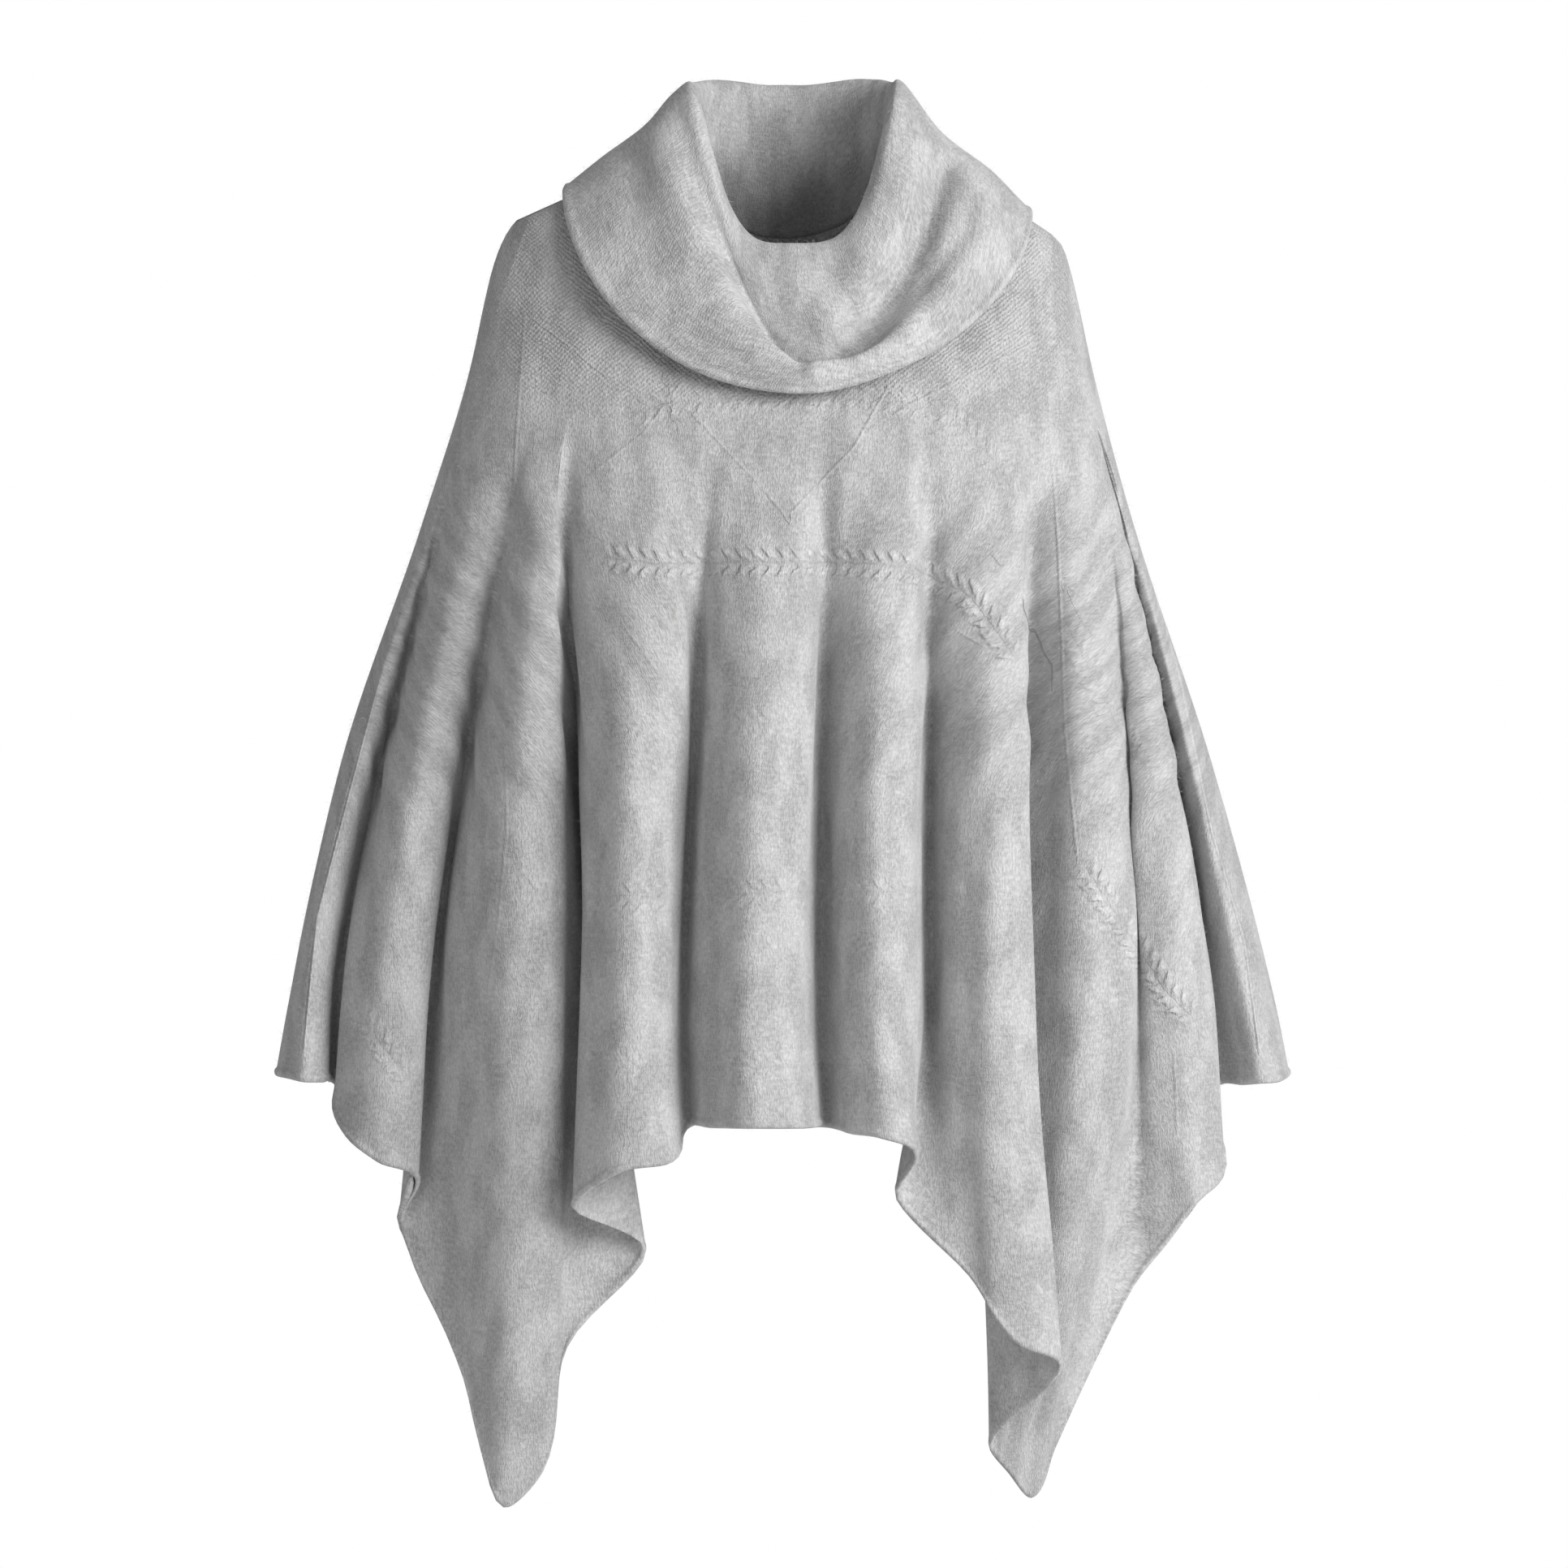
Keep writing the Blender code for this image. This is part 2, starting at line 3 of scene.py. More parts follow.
import bpy
import numpy as np
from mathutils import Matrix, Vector


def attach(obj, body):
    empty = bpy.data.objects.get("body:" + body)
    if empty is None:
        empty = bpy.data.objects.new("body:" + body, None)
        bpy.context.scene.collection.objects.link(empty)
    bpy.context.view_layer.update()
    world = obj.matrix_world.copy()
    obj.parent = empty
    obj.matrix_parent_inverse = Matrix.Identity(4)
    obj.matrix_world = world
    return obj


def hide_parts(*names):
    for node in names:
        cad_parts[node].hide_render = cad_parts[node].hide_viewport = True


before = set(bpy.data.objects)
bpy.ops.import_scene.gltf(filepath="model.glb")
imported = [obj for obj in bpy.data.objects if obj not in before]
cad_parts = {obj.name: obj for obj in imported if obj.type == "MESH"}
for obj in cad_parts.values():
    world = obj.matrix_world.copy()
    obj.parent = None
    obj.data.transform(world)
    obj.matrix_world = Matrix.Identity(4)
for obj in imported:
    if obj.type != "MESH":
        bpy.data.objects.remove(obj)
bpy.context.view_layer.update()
mm = 0.001

garment = {  # its form, in millimetres
    "wall": 1.9,  # brushed knit
    "thinnest": 0.7,  # where a tight fold squeezes it
    "openShare": 0.35,  # least inner length of a bend as a share of its outer length
    "seamGap": 0.3,
    "layerGap": 0.8,  # between front and back where a wing's layers touch
    "layerSpread": 5.0,  # and where they start to part
    "neckHalfWidth": 78.0,
    "neckTop": 2.0,
    "frontNeckDrop": 102.0,
    "backNeckDrop": 50.0,
    "chestLevel": -150.0,
    "bustLevel": -260.0,
    "lowLevel": -600.0,
    "cuffLevel": -652.0,
    "foldsStart": -170.0,
    "frontFoldsFull": -480.0,
    "backFoldsFull": -560.0,
    "wingSewnTo": -600.0,
    "wingOpenFrom": -380.0,
    "topSpread": 0.70,
    "frontShoulders": (0.54, 1.0, 0.78),  # height of a ridge at its left edge, crest and right edge
    "backShoulders": (0.66, 1.0, 0.66),
    "squareness": 2.6,  # of a level section, where 2 is an ellipse
    "neckTilt": (38.0, 14.0),  # lean of the wall's upper edge beside and before the neck, in degrees
    "shoulderTilt": 70.0,
    "tiltRun": 30.0,  # from the neck to where that lean is reached
    "squeezeRounds": 16,
    "squeezeStep": 0.9,
    "eveningRounds": 40,
    "eveningShare": 0.6,
    "sleevePoints": 4,
    "wingPoints": 10,
    "steps": 7,  # surface points for each control point across
    "topRows": 14,
    "topCrowding": 1.2,  # draws the rows together towards the upper edge
    "levelStep": 5.5,
    "hemRows": 56,
    "hemCrowding": 1.4,  # draws the rows together towards the rolled hem
    "hemRoll": 1.3,  # how far the knit's curling edge stands up
    "hemRollWidth": 6.0,
    "hemRollUnder": 0.3,  # share of the curl on the inner side
    "pathFade": 12.0,  # from the end of a drawn path to its full strength
}

# Level sections of the body: height, reach to the left, right, front and back.
bodySections = np.array([
    (2, 78, 78, 22, 30),
    (-12, 118, 115, 36, 48),
    (-27, 160, 150, 46, 60),
    (-41, 191, 176, 54, 70),
    (-58, 202, 198, 62, 78),
    (-78, 209, 205, 71, 86),
    (-99, 214, 210, 80, 93),
    (-150, 225, 221, 104, 104),
    (-260, 259, 250, 140, 116),
    (-430, 317, 306, 151, 126),
    (-600, 354, 351, 160, 136),
    (-660, 365, 363, 162, 138),
], float)

# Folds of the front from left to right: place at bust, low level and hem, width at the three, reach at the
# low level and the hem, reach of the back behind a wing, and height of the lower end. A trough has no width.
frontFolds = (
    ("sleeveLeft", -252, -338, -341, 9, 24, 26, 43, 40, 38, -655),
    ("underarmLeft", -243, -318, -322, 0, 0, 0, 8, 5, 32, -657),
    ("wingLeft", -222, -282, -289, 28, 56, 56, 68, 52, 62, -711),
    ("wingTurnLeft", -193, -253, -271, 0, 0, 0, 30, 20, 45, -762),
    ("tipLeft", -172, -191, -199, 27, 72, 56, 108, 46, 86, -956),
    ("tipFoldLeft", -157, -148, -153, 0, 0, 0, 80, 52, 0, -842),
    ("turnLeft", -152, -124, -98, 0, 0, 0, 50, 62, 0, -773),
    ("panelLeft", -104, -112, -112, 72, 60, 70, 146, 140, 0, -713),
    ("troughLeft", -53, -70, -66, 0, 0, 0, 94, 99, 0, -684),
    ("panelMiddle", -13, -22, -19, 56, 64, 66, 159, 160, 0, -682),
    ("troughRight", 28, 25, 29, 0, 0, 0, 97, 100, 0, -684),
    ("panelRight", 66, 64, 69, 48, 46, 48, 151, 146, 0, -690),
    ("turnRight", 101, 102, 81, 0, 0, 0, 84, 98, 0, -735),
    ("panelFarRight", 141, 146, 162, 50, 58, 66, 134, 112, 0, -834),
    ("tipTurnRight", 173, 140, 147, 0, 0, 0, 50, 52, 0, -912),
    ("tipRight", 200, 209, 176, 24, 62, 32, 94, 40, 86, -950),
    ("wingTurnRight", 228, 251, 249, 0, 0, 0, 60, 30, 45, -800),
    ("wingRight", 235, 278, 291, 7, 46, 38, 74, 52, 62, -742),
    ("underarmRight", 240, 303, 309, 0, 0, 0, 8, 5, 32, -660),
    ("sleeveRight", 244, 328, 339, 6, 26, 26, 43, 40, 38, -656),
)

# Folds of the back between the two tips: the same columns but the reach behind a wing.
backFolds = (
    ("troughFarLeft", -135, -148, -150, 0, 0, 0, 62, 56, -770),
    ("panelLeft", -93, -105, -106, 56, 60, 62, 124, 118, -706),
    ("troughLeft", -47, -53, -54, 0, 0, 0, 94, 96, -673),
    ("panelMiddle", 2, 0, 0, 56, 62, 62, 138, 138, -668),
    ("troughRight", 50, 54, 55, 0, 0, 0, 92, 94, -673),
    ("panelRight", 97, 107, 108, 56, 60, 62, 122, 118, -705),
    ("troughFarRight", 138, 152, 152, 0, 0, 0, 62, 56, -766),
)


def smoothStep(value, start, end):
    share = np.clip((value - start) / (end - start), 0.0, 1.0)
    return share * share * (3.0 - 2.0 * share)


def blended(first, second, share):
    return first + (second - first) * share


def unit(vectors):
    return vectors / np.maximum(np.linalg.norm(vectors, axis=-1, keepdims=True), 1e-9)


def through(knots, values, at):  # a smooth curve through values at falling knots, with no overshoot
    knots = -np.asarray(knots, float)
    values = np.asarray(values, float)
    steps = np.diff(knots)
    slopes = np.diff(values) / steps
    tangents = np.concatenate([slopes[:1], slopes[:-1] * 0.0, slopes[-1:]])
    sameWay = slopes[:-1] * slopes[1:] > 0
    inner = np.where(sameWay, 2.0 * slopes[:-1] * slopes[1:], 0.0)
    tangents[1:-1] = inner / np.where(sameWay, slopes[:-1] + slopes[1:], 1.0)
    at = np.clip(-np.asarray(at, float), knots[0], knots[-1])
    index = np.clip(np.searchsorted(knots, at, side="right") - 1, 0, len(steps) - 1)
    share = (at - knots[index]) / steps[index]
    start = (1 + 2 * share) * (1 - share) ** 2 * values[index]
    start += share * (1 - share) ** 2 * steps[index] * tangents[index]
    end = share**2 * (3 - 2 * share) * values[index + 1]
    end += share**2 * (share - 1) * steps[index] * tangents[index + 1]
    return start + end


def refined(points, steps, ends):  # points along the smooth curves through each row of points
    whole = np.concatenate([ends[0][:, None], points, ends[1][:, None]], axis=1)
    spans = np.sqrt(np.linalg.norm(np.diff(whole, axis=1), axis=2))[..., None] + 1e-6
    slopes = np.diff(whole, axis=1) / spans
    before, after = spans[:, :-1], spans[:, 1:]
    tangents = (slopes[:, 1:] * before + slopes[:, :-1] * after) / (before + after)
    spans = spans[:, 1:-1]
    columns = []
    for step in range(steps):
        share = step / steps
        column = (1 + 2 * share) * (1 - share) ** 2 * points[:, :-1]
        column = column + share * (1 - share) ** 2 * spans * tangents[:, :-1]
        column = column + share**2 * (3 - 2 * share) * points[:, 1:]
        column = column + share**2 * (share - 1) * spans * tangents[:, 1:]
        columns.append(column)
    fine = np.stack(columns, axis=2).reshape(len(points), -1, 3)
    return np.concatenate([fine, points[:, -1:]], axis=1)


def halfWidth(x, z):
    heights = bodySections[:, 0]
    left = through(heights, bodySections[:, 1], z)
    right = through(heights, bodySections[:, 2], z)
    return np.where(x < 0, left, right)


def envelope(x, z, facing):  # how far the smooth body reaches forward or backward
    reach = through(bodySections[:, 0], bodySections[:, 3 if facing < 0 else 4], z)
    across = np.clip(np.abs(x) / halfWidth(x, z), 0.0, 1.0)
    return reach * (1.0 - across ** garment["squareness"]) ** (1.0 / garment["squareness"])


def topEdge(x, facing):  # the shoulder seams, and the neckline between the shoulder points
    x = np.asarray(x, float)
    tops = bodySections[:4]
    left = np.interp(np.abs(x), tops[:, 1], tops[:, 0])
    right = np.interp(np.abs(x), tops[:, 2], tops[:, 0])
    dip = np.sqrt(np.clip(1.0 - (x / garment["neckHalfWidth"]) ** 2, 0.0, 1.0)) ** 1.2
    drop = garment["frontNeckDrop"] if facing < 0 else garment["backNeckDrop"]
    inNeck = np.abs(x) < garment["neckHalfWidth"]
    z = np.where(inNeck, garment["neckTop"] - drop * dip, np.where(x < 0, left, right))
    y = np.where(inNeck, facing * envelope(x, z, facing), 0.0)
    return np.stack([x, y, z], axis=-1)


def topNormal(x, facing):  # the way the wall's thickness runs along that edge
    x = np.asarray(x, float)
    side = np.clip(x / garment["neckHalfWidth"], -1.0, 1.0)
    ahead = np.sqrt(1.0 - side**2)
    tilt = np.radians(blended(*garment["neckTilt"], ahead))
    beyond = smoothStep(np.abs(x), garment["neckHalfWidth"], garment["neckHalfWidth"] + garment["tiltRun"])
    tilt = blended(tilt, np.radians(garment["shoulderTilt"]), beyond)
    return np.stack([side * np.cos(tilt), facing * ahead * np.cos(tilt), np.sin(tilt)], axis=-1)


def neckRise(x, facing):  # the way from the panel up to the collar
    normal = topNormal(x, facing)
    return unit(np.array([0.0, 0.0, 1.0]) - normal * normal[..., 2:])


def controlLines(folds, shoulders):  # a trough is one line, a ridge three: places, reaches and lower end
    lines = []
    for index, (bust, low, hem, bustWidth, width, hemWidth, reach, hemReach, drop) in enumerate(folds):
        if not width:
            lines.append((bust, low, hem, reach, hemReach, drop))
            continue
        for side in (-1, 0, 1):
            neighbour = index + side
            near = folds[neighbour][6:] if 0 <= neighbour < len(folds) else (0.0, 0.0, drop + 4.0)
            half, share = 0.5 * side, shoulders[side + 1]
            places = (bust + half * bustWidth, low + half * width, hem + half * hemWidth)
            ends = [blended(*pair, share) for pair in zip(near, (reach, hemReach, drop))]
            lines.append(places + tuple(ends))
    return lines


def rowHeights(top, drop):
    down = np.linspace(0.0, 1.0, garment["topRows"] + 1)[:-1] ** garment["topCrowding"]
    count = round((garment["chestLevel"] - garment["lowLevel"]) / garment["levelStep"])
    middle = np.linspace(garment["chestLevel"], garment["lowLevel"], count)
    lower = 1.0 - np.linspace(1.0, 0.0, garment["hemRows"] + 1)[1:] ** garment["hemCrowding"]
    upper = blended(top, garment["chestLevel"], down)
    return np.concatenate([upper, middle, blended(garment["lowLevel"], drop, lower)])


def linePoints(line, facing):  # one control line from the top edge to the hem
    bust, low, hem, reach, hemReach, drop = line
    start = topEdge(garment["topSpread"] * bust, facing)
    z = rowHeights(start[2], drop)
    x = through((start[2], garment["bustLevel"], garment["lowLevel"], drop), (start[0], bust, low, hem), z)
    lowered = np.clip((z - garment["lowLevel"]) / (drop - garment["lowLevel"]), 0.0, 1.0)
    full = garment["frontFoldsFull"] if facing < 0 else garment["backFoldsFull"]
    depth = smoothStep(z, garment["foldsStart"], full)
    y = facing * blended(envelope(x, z, facing), blended(reach, hemReach, lowered), depth)
    return np.stack([x, y, z], axis=-1)


def panelGrid(lines, facing):  # a row for each level and a column for each step across
    seams = []
    for side in (-1.0, 1.0):
        z = rowHeights(bodySections[3, 0], garment["cuffLevel"])
        seams.append(np.stack([side * halfWidth(side, z), 0.0 * z, z], axis=-1))
    points = np.stack([seams[0]] + [linePoints(line, facing) for line in lines] + [seams[1]], axis=1)
    mirrored = np.array([1.0, -1.0, 1.0])
    grid = refined(points, garment["steps"], (points[:, 1] * mirrored, points[:, -2] * mirrored))
    across = grid[0, :, 0].copy()
    for side in (-1.0, 1.0):
        across[np.argmin(np.abs(across - side * garment["neckHalfWidth"]))] = side * garment["neckHalfWidth"]
    grid[0] = topEdge(across, facing)
    return grid


def gridNormals(grid, facing):  # halfway between the slopes of the cloth on the two sides of each point
    steps = unit(np.diff(grid, axis=0))
    down = unit(np.concatenate([steps[:1], steps]) + np.concatenate([steps, steps[-1:]]))
    steps = np.diff(grid, axis=1)
    before = np.concatenate([steps[:, :1], steps], axis=1)
    after = np.concatenate([steps, steps[:, -1:]], axis=1)
    level = [unit(step - down * (step * down).sum(-1, keepdims=True)) for step in (before, after)]
    return unit(np.cross(level[0] + level[1], down) * facing)


def finishEdges(outer, normals, facing):  # square edges along the seams, half a gap back from the neighbour
    across = outer[0, :, 0]
    inNeck = np.abs(across) < garment["neckHalfWidth"] - 1e-6
    normals[0] = topNormal(across, facing)
    normals[:, [0, -1], 1] = 0.0
    normals[:] = unit(normals)
    rise = neckRise(across, facing)
    outer[0, inNeck] -= 0.5 * garment["seamGap"] * rise[inNeck]
    outer[0, ~inNeck, 1] = facing * 0.5 * garment["seamGap"]
    outer[:, [0, -1], 1] = facing * 0.5 * garment["seamGap"]
    return outer, normals


def squeezed(surface, normals, least, most):  # the wall's thickness, less where a tight fold leaves no room
    depth = np.full(surface.shape[:2], most)
    for _ in range(garment["squeezeRounds"]):
        other = surface - depth[..., None] * normals
        tight = np.zeros(depth.shape, bool)
        for axis in (0, 1):
            steps = np.diff(surface, axis=axis)
            share = (np.diff(other, axis=axis) * steps).sum(-1) / np.maximum((steps**2).sum(-1), 1e-9)
            near = np.moveaxis(tight, axis, 0)
            crossed = np.moveaxis(share < garment["openShare"], axis, 0)
            near[:-1] |= crossed
            near[1:] |= crossed
        depth = np.where(tight, np.maximum(least, garment["squeezeStep"] * depth), depth)
    return depth


def evened(grid, amount):  # points evened out across where the amount is above 0
    for _ in range(garment["eveningRounds"]):
        between = 0.5 * (grid[:, :-2] + grid[:, 2:])
        grid[:, 1:-1] = blended(grid[:, 1:-1], between, garment["eveningShare"] * amount[:, 1:-1])
    return grid


def hemRoll(grid):  # 1 along the curl at the lower edge, 0 above it
    steps = np.linalg.norm(np.diff(grid, axis=0), axis=2)
    below = np.concatenate([np.cumsum(steps[::-1], axis=0)[::-1], np.zeros((1, grid.shape[1]))])
    share = np.clip(below / garment["hemRollWidth"], 0.0, 1.0)
    return np.sin(math.pi * share) ** 0.8


def knitPlaces(grid, facing):  # where each point lies in the flat knit, across and up, in millimetres
    chest = garment["topRows"]
    low = chest + round((garment["chestLevel"] - garment["lowLevel"]) / garment["levelStep"]) - 1
    centre = int(np.argmin(np.abs(grid[chest, :, 0])))
    run = np.linalg.norm(np.diff(grid, axis=1), axis=2)
    across = np.concatenate([np.zeros((len(grid), 1)), np.cumsum(run, axis=1)], axis=1)
    across -= across[:, centre : centre + 1]
    share = np.linspace(0.0, 1.0, 25)
    x = grid[:chest, :, 0, None] * share
    y = envelope(x, np.broadcast_to(grid[:chest, :, 2, None], x.shape), facing)
    above = np.hypot(np.diff(x, axis=2), np.diff(y, axis=2)).sum(-1)
    across[:chest] = np.sign(grid[:chest, :, 0]) * above
    across[low:] = across[low]
    fall = np.linalg.norm(np.diff(grid, axis=0), axis=2)
    down = np.concatenate([np.zeros((1, grid.shape[1])), np.cumsum(fall, axis=0)])
    return np.stack([across, down[chest] - down], axis=-1)


# Each path is drawn on the front as (x, z) points; a cable is a plait of two rows with a groove between them.
frontCables = {
    "pitch": 9.6,  # from one lozenge of the plait to the next
    "rowMiddle": 6.3,  # of each of its two rows, from the groove
    "rowHalf": 5.6,
    "grooveHalf": 1.0,
    "lean": 0.6,  # how far the lozenges lean
    "reach": 30.0,  # farthest from a path that its places are kept
    "paths": (  # name, strength and points
        ("bust", 1.0, (
            (-131, -286), (-90, -291), (-30, -290), (40, -290), (90, -294), (128, -312), (165, -362))),
        ("yoke", 0.4, (
            (-112, -186), (-80, -177), (-20, -172), (60, -172), (112, -184), (150, -222), (172, -268))),
        ("waist", 0.3, ((-180, -398), (-90, -404), (0, -402), (90, -404), (130, -410))),
        ("hip", 0.45, ((-190, -520), (-90, -522), (0, -519), (90, -519), (130, -524))),
        ("hemBand", 0.3, ((-150, -640), (-60, -640), (0, -640), (70, -640))),
        ("rightFlank", 0.45, ((194, -325), (222, -380), (252, -436))),
        ("rightPlait", 1.0, ((209, -500), (240, -545), (268, -590), (291, -612))),
        ("wingLeftPlait", 0.6, ((-305, -598), (-282, -632), (-262, -655))),
        ("tipLeftPlait", 0.5, ((-183, -690), (-168, -702), (-150, -712))),
        ("leftFlank", 0.3, ((-160, -400), (-200, -470), (-240, -540))),
    ),
}
knitLines = {
    "halfWidth": 1.9,
    "reach": 20.0,
    "paths": (
        ("leftColumn", 0.9, (
            (-183, -110), (-188, -203), (-192, -302), (-196, -400), (-194, -474), (-200, -540),
            (-209, -600))),
        ("rightColumn", 0.9, ((185, -145), (188, -215), (192, -278), (197, -406), (206, -500))),
        ("wingRightLine", 0.7, ((275, -632), (278, -696))),
        ("vNeckLeft", 1.0, ((-15, -238), (2, -259), (49, -209), (78, -157))),
        ("vInner", 0.6, ((-67, -157), (-99, -200), (-140, -232))),
        ("yokeRight", 0.8, ((72, -157), (86, -180), (182, -130))),
        ("yokeLeft", 0.8, ((-183, -110), (-125, -158), (-67, -182), (-15, -238))),
        ("diagonalA", 0.7, ((115, -334), (144, -351))),
        ("diagonalB", 0.7, ((194, -302), (217, -319))),
        ("leftDiagonal", 0.5, ((-118, -325), (-76, -382))),
        ("leftFork", 0.5, ((-100, -590), (-66, -548))),
        ("rightFork", 0.5, ((20, -590), (-22, -540))),
        ("seamRight", 2.2, ((262, -300), (281, -365), (303, -476), (327, -556), (338, -640))),
        ("seamLeft", 2.2, ((-262, -290), (-279, -342), (-305, -441), (-331, -539), (-341, -640))),
    ),
}
sleeveSeams = {  # where the overarm seams lie in front, and the smooth strip of knit beyond them
    "edge": 2.5,
    "fadeHeights": (-285.0, -330.0),
    "heights": (-300.0, -365.0, -476.0, -556.0, -640.0),
    "left": (264.0, 283.0, 310.0, 333.0, 341.0),
    "right": (262.0, 281.0, 303.0, 327.0, 338.0),
}


def alongPath(points, path):  # distance along, signed distance across and fade at the ends, for (x, z) points
    path = np.array(path, float)
    best = np.full(points.shape[:-1], 1e9)
    along, across = np.zeros_like(best), np.full_like(best, 1e3)
    run = 0.0
    for start, end in zip(path, path[1:]):
        length = np.linalg.norm(end - start)
        way = (end - start) / length
        offset = points - start
        reached = np.clip(offset @ way, 0.0, length)
        distance = np.linalg.norm(offset - reached[..., None] * way, axis=-1)
        side = np.sign(offset[..., 0] * way[1] - offset[..., 1] * way[0])
        nearer = distance < best
        best = np.where(nearer, distance, best)
        along = np.where(nearer, run + reached, along)
        across = np.where(nearer, side * distance, across)
        run += length
    fade = smoothStep(along, 0.0, garment["pathFade"]) * smoothStep(run - along, 0.0, garment["pathFade"])
    return along, across, fade


def sleeveStrip(points):  # 1 beyond the overarm seams, 0 on the rest
    x, z = points[..., 0], points[..., 1]
    heights = sleeveSeams["heights"][::-1]
    seam = [np.interp(z, heights, sleeveSeams[side][::-1]) for side in ("left", "right")]
    beyond = np.abs(x) - np.where(x < 0, seam[0], seam[1])
    return smoothStep(beyond, 0.0, sleeveSeams["edge"]) * smoothStep(z, *sleeveSeams["fadeHeights"])


def nearestPath(points, drawn):  # place along and across the nearest path, and its strength there
    nearest = np.full(points.shape[:-1], 1e9)
    found = np.zeros((3,) + points.shape[:-1])
    for _, strength, path in drawn["paths"]:
        along, across, fade = alongPath(points, path)
        nearer = np.abs(across) < nearest
        nearest = np.where(nearer, np.abs(across), nearest)
        strength = strength * fade * (np.abs(across) < drawn["reach"])
        found = np.where(nearer, np.stack([along, across, strength]), found)
    return found


def reliefPlaces(points):  # cable (along, across, strength) and line (across, strength, strip) at each point
    cable = nearestPath(points, frontCables)
    line = nearestPath(points, knitLines)
    line = np.stack([line[1], line[2], sleeveStrip(points)], axis=-1)
    return np.moveaxis(cable, 0, -1), line


softWaves = (  # slow unevenness of hand-placed cloth: height, wave length across and down, turn
    (0.8, 71.0, 900.0, 0.3),
    (0.6, -47.0, 620.0, 1.9),
    (0.35, 34.0, -410.0, 4.1),
    (0.35, 150.0, 190.0, 2.2),
)


def unevenness(places):
    height = np.zeros(places.shape[:-1])
    for rise, acrossWave, downWave, turn in softWaves:
        wave = places[..., 0] / acrossWave + places[..., 1] / downWave
        height += rise * np.sin(2.0 * math.pi * wave + turn)
    return height


def frontCloth():
    folds = [fold[1:9] + fold[10:] for fold in frontFolds]
    outer = panelGrid(controlLines(folds, garment["frontShoulders"]), -1.0)
    outer, normals = finishEdges(outer, gridNormals(outer, -1.0), -1.0)
    return outer, normals


def sewnWings(outer, front, frontNormals):  # the back against the front's wings, and how free it hangs
    count = outer.shape[1]
    free = smoothStep(front[..., 2], garment["wingSewnTo"], garment["wingOpenFrom"])
    gap = garment["layerGap"] + garment["layerSpread"] * smoothStep(free, 0.0, 0.15)
    gap[-1] = garment["seamGap"]
    first = squeezed(front, frontNormals, garment["thinnest"], garment["wall"])
    second = squeezed(front, frontNormals, 2.0 * garment["thinnest"], 2.0 * garment["wall"])
    held, thickness = outer.copy(), np.zeros_like(outer)
    freedom = np.ones(outer.shape[:2] + (1,))
    for column in range((garment["wingPoints"] + 1) * garment["steps"]):
        for own, other in ((column, column), (count - 1 - column, front.shape[1] - 1 - column)):
            place = column / garment["steps"]
            near = smoothStep(place, garment["sleevePoints"] - 0.5, garment["sleevePoints"])
            near = near * (1.0 - smoothStep(place, garment["wingPoints"], garment["wingPoints"] + 1.0))
            freedom[:, own, 0] = 1.0 - near * (1.0 - free[:, other])
            normals = frontNormals[:, other]
            held[:, own] = front[:, other] - (second + gap)[:, other, None] * normals
            thickness[:, own] = (second - first)[:, other, None] * normals
    return held, thickness, freedom


def backCloth(front, frontNormals):
    sides = [fold[1:7] + (fold[9], fold[9], fold[10]) for fold in frontFolds]
    wings = garment["wingPoints"] - 1
    shape = garment["backShoulders"]
    wingLeft = controlLines(sides[:5], shape)[:wings]
    wingRight = controlLines(sides[-5:], shape)[-wings:]
    tips = [fold[:3] + (0, 0, 0) + fold[6:] for fold in (sides[4], sides[-5])]
    middle = controlLines([tips[0]] + [fold[1:] for fold in backFolds] + [tips[1]], shape)
    outer = panelGrid(wingLeft + middle + wingRight, 1.0)
    held, thickness, freedom = sewnWings(outer, front, frontNormals)
    leaving = smoothStep(freedom, 0.06, 0.2) * smoothStep(1.0 - freedom, 0.0, 0.3)
    outer = evened(blended(held, outer, freedom), leaving)
    outer, normals = finishEdges(outer, gridNormals(outer, 1.0), 1.0)
    hanging = -squeezed(outer, normals, garment["thinnest"], garment["wall"])[..., None] * normals
    inner = outer + blended(thickness, hanging, smoothStep(freedom, 0.0, 0.2))
    return outer, inner, normals


collar = {
    "saddle": 4.0,  # how far the rim rises between its back and its two sides
    "steps": 12,  # surface points for each ring along the profile
    "turn": math.radians(1.9),  # most between two columns
    "waleTotal": 640.0,  # length of knit round it
    "waveShare": 0.5,  # of the panels' unevenness
    "waveScale": (0.9, 0.7),
    "waveFrom": (30.0, 70.0),  # along the profile
    "creaseFrom": (40.0, 62.0),
    "creaseFacing": (0.1, -0.35),
}

# Rings from the neckline up, over the roll and down to the flap's edge: place, height and reach at the front,
# reach and height at the right, back and left, sharpness of the dip right and left, fall and squareness.
collarRings = np.array([
    (0, -84, 78, 76, 20, 50, -6, 75, 22, 3.8, 3.0, 1.0, 0.90),
    (4, -64, 76, 74, 38, 48, 30, 67, 36, 4.0, 3.5, 1.0, 0.90),
    (5, -66, 85, 76, 52, 51, 55, 62, 50, 3.4, 3.2, 1.0, 0.88),
    (10, -100, 106, 81, 59, 57, 61, 67, 58, 2.8, 2.9, 1.0, 0.88),
    (22, -160, 117, 113, 21, 66, 58, 80, 49, 2.2, 2.1, 1.0, 0.90),
    (20, -153, 132, 148, -6, 80, 40, 99, 27, 2.2, 1.9, 1.0, 0.85),
    (14, -164, 134, 166, -24, 94, 0, 128, 6, 1.8, 2.0, 0.7, 0.72),
    (11, -172, 128, 177, -35, 106, -75, 158, -18, 1.7, 2.1, 0.56, 0.56),
], float)

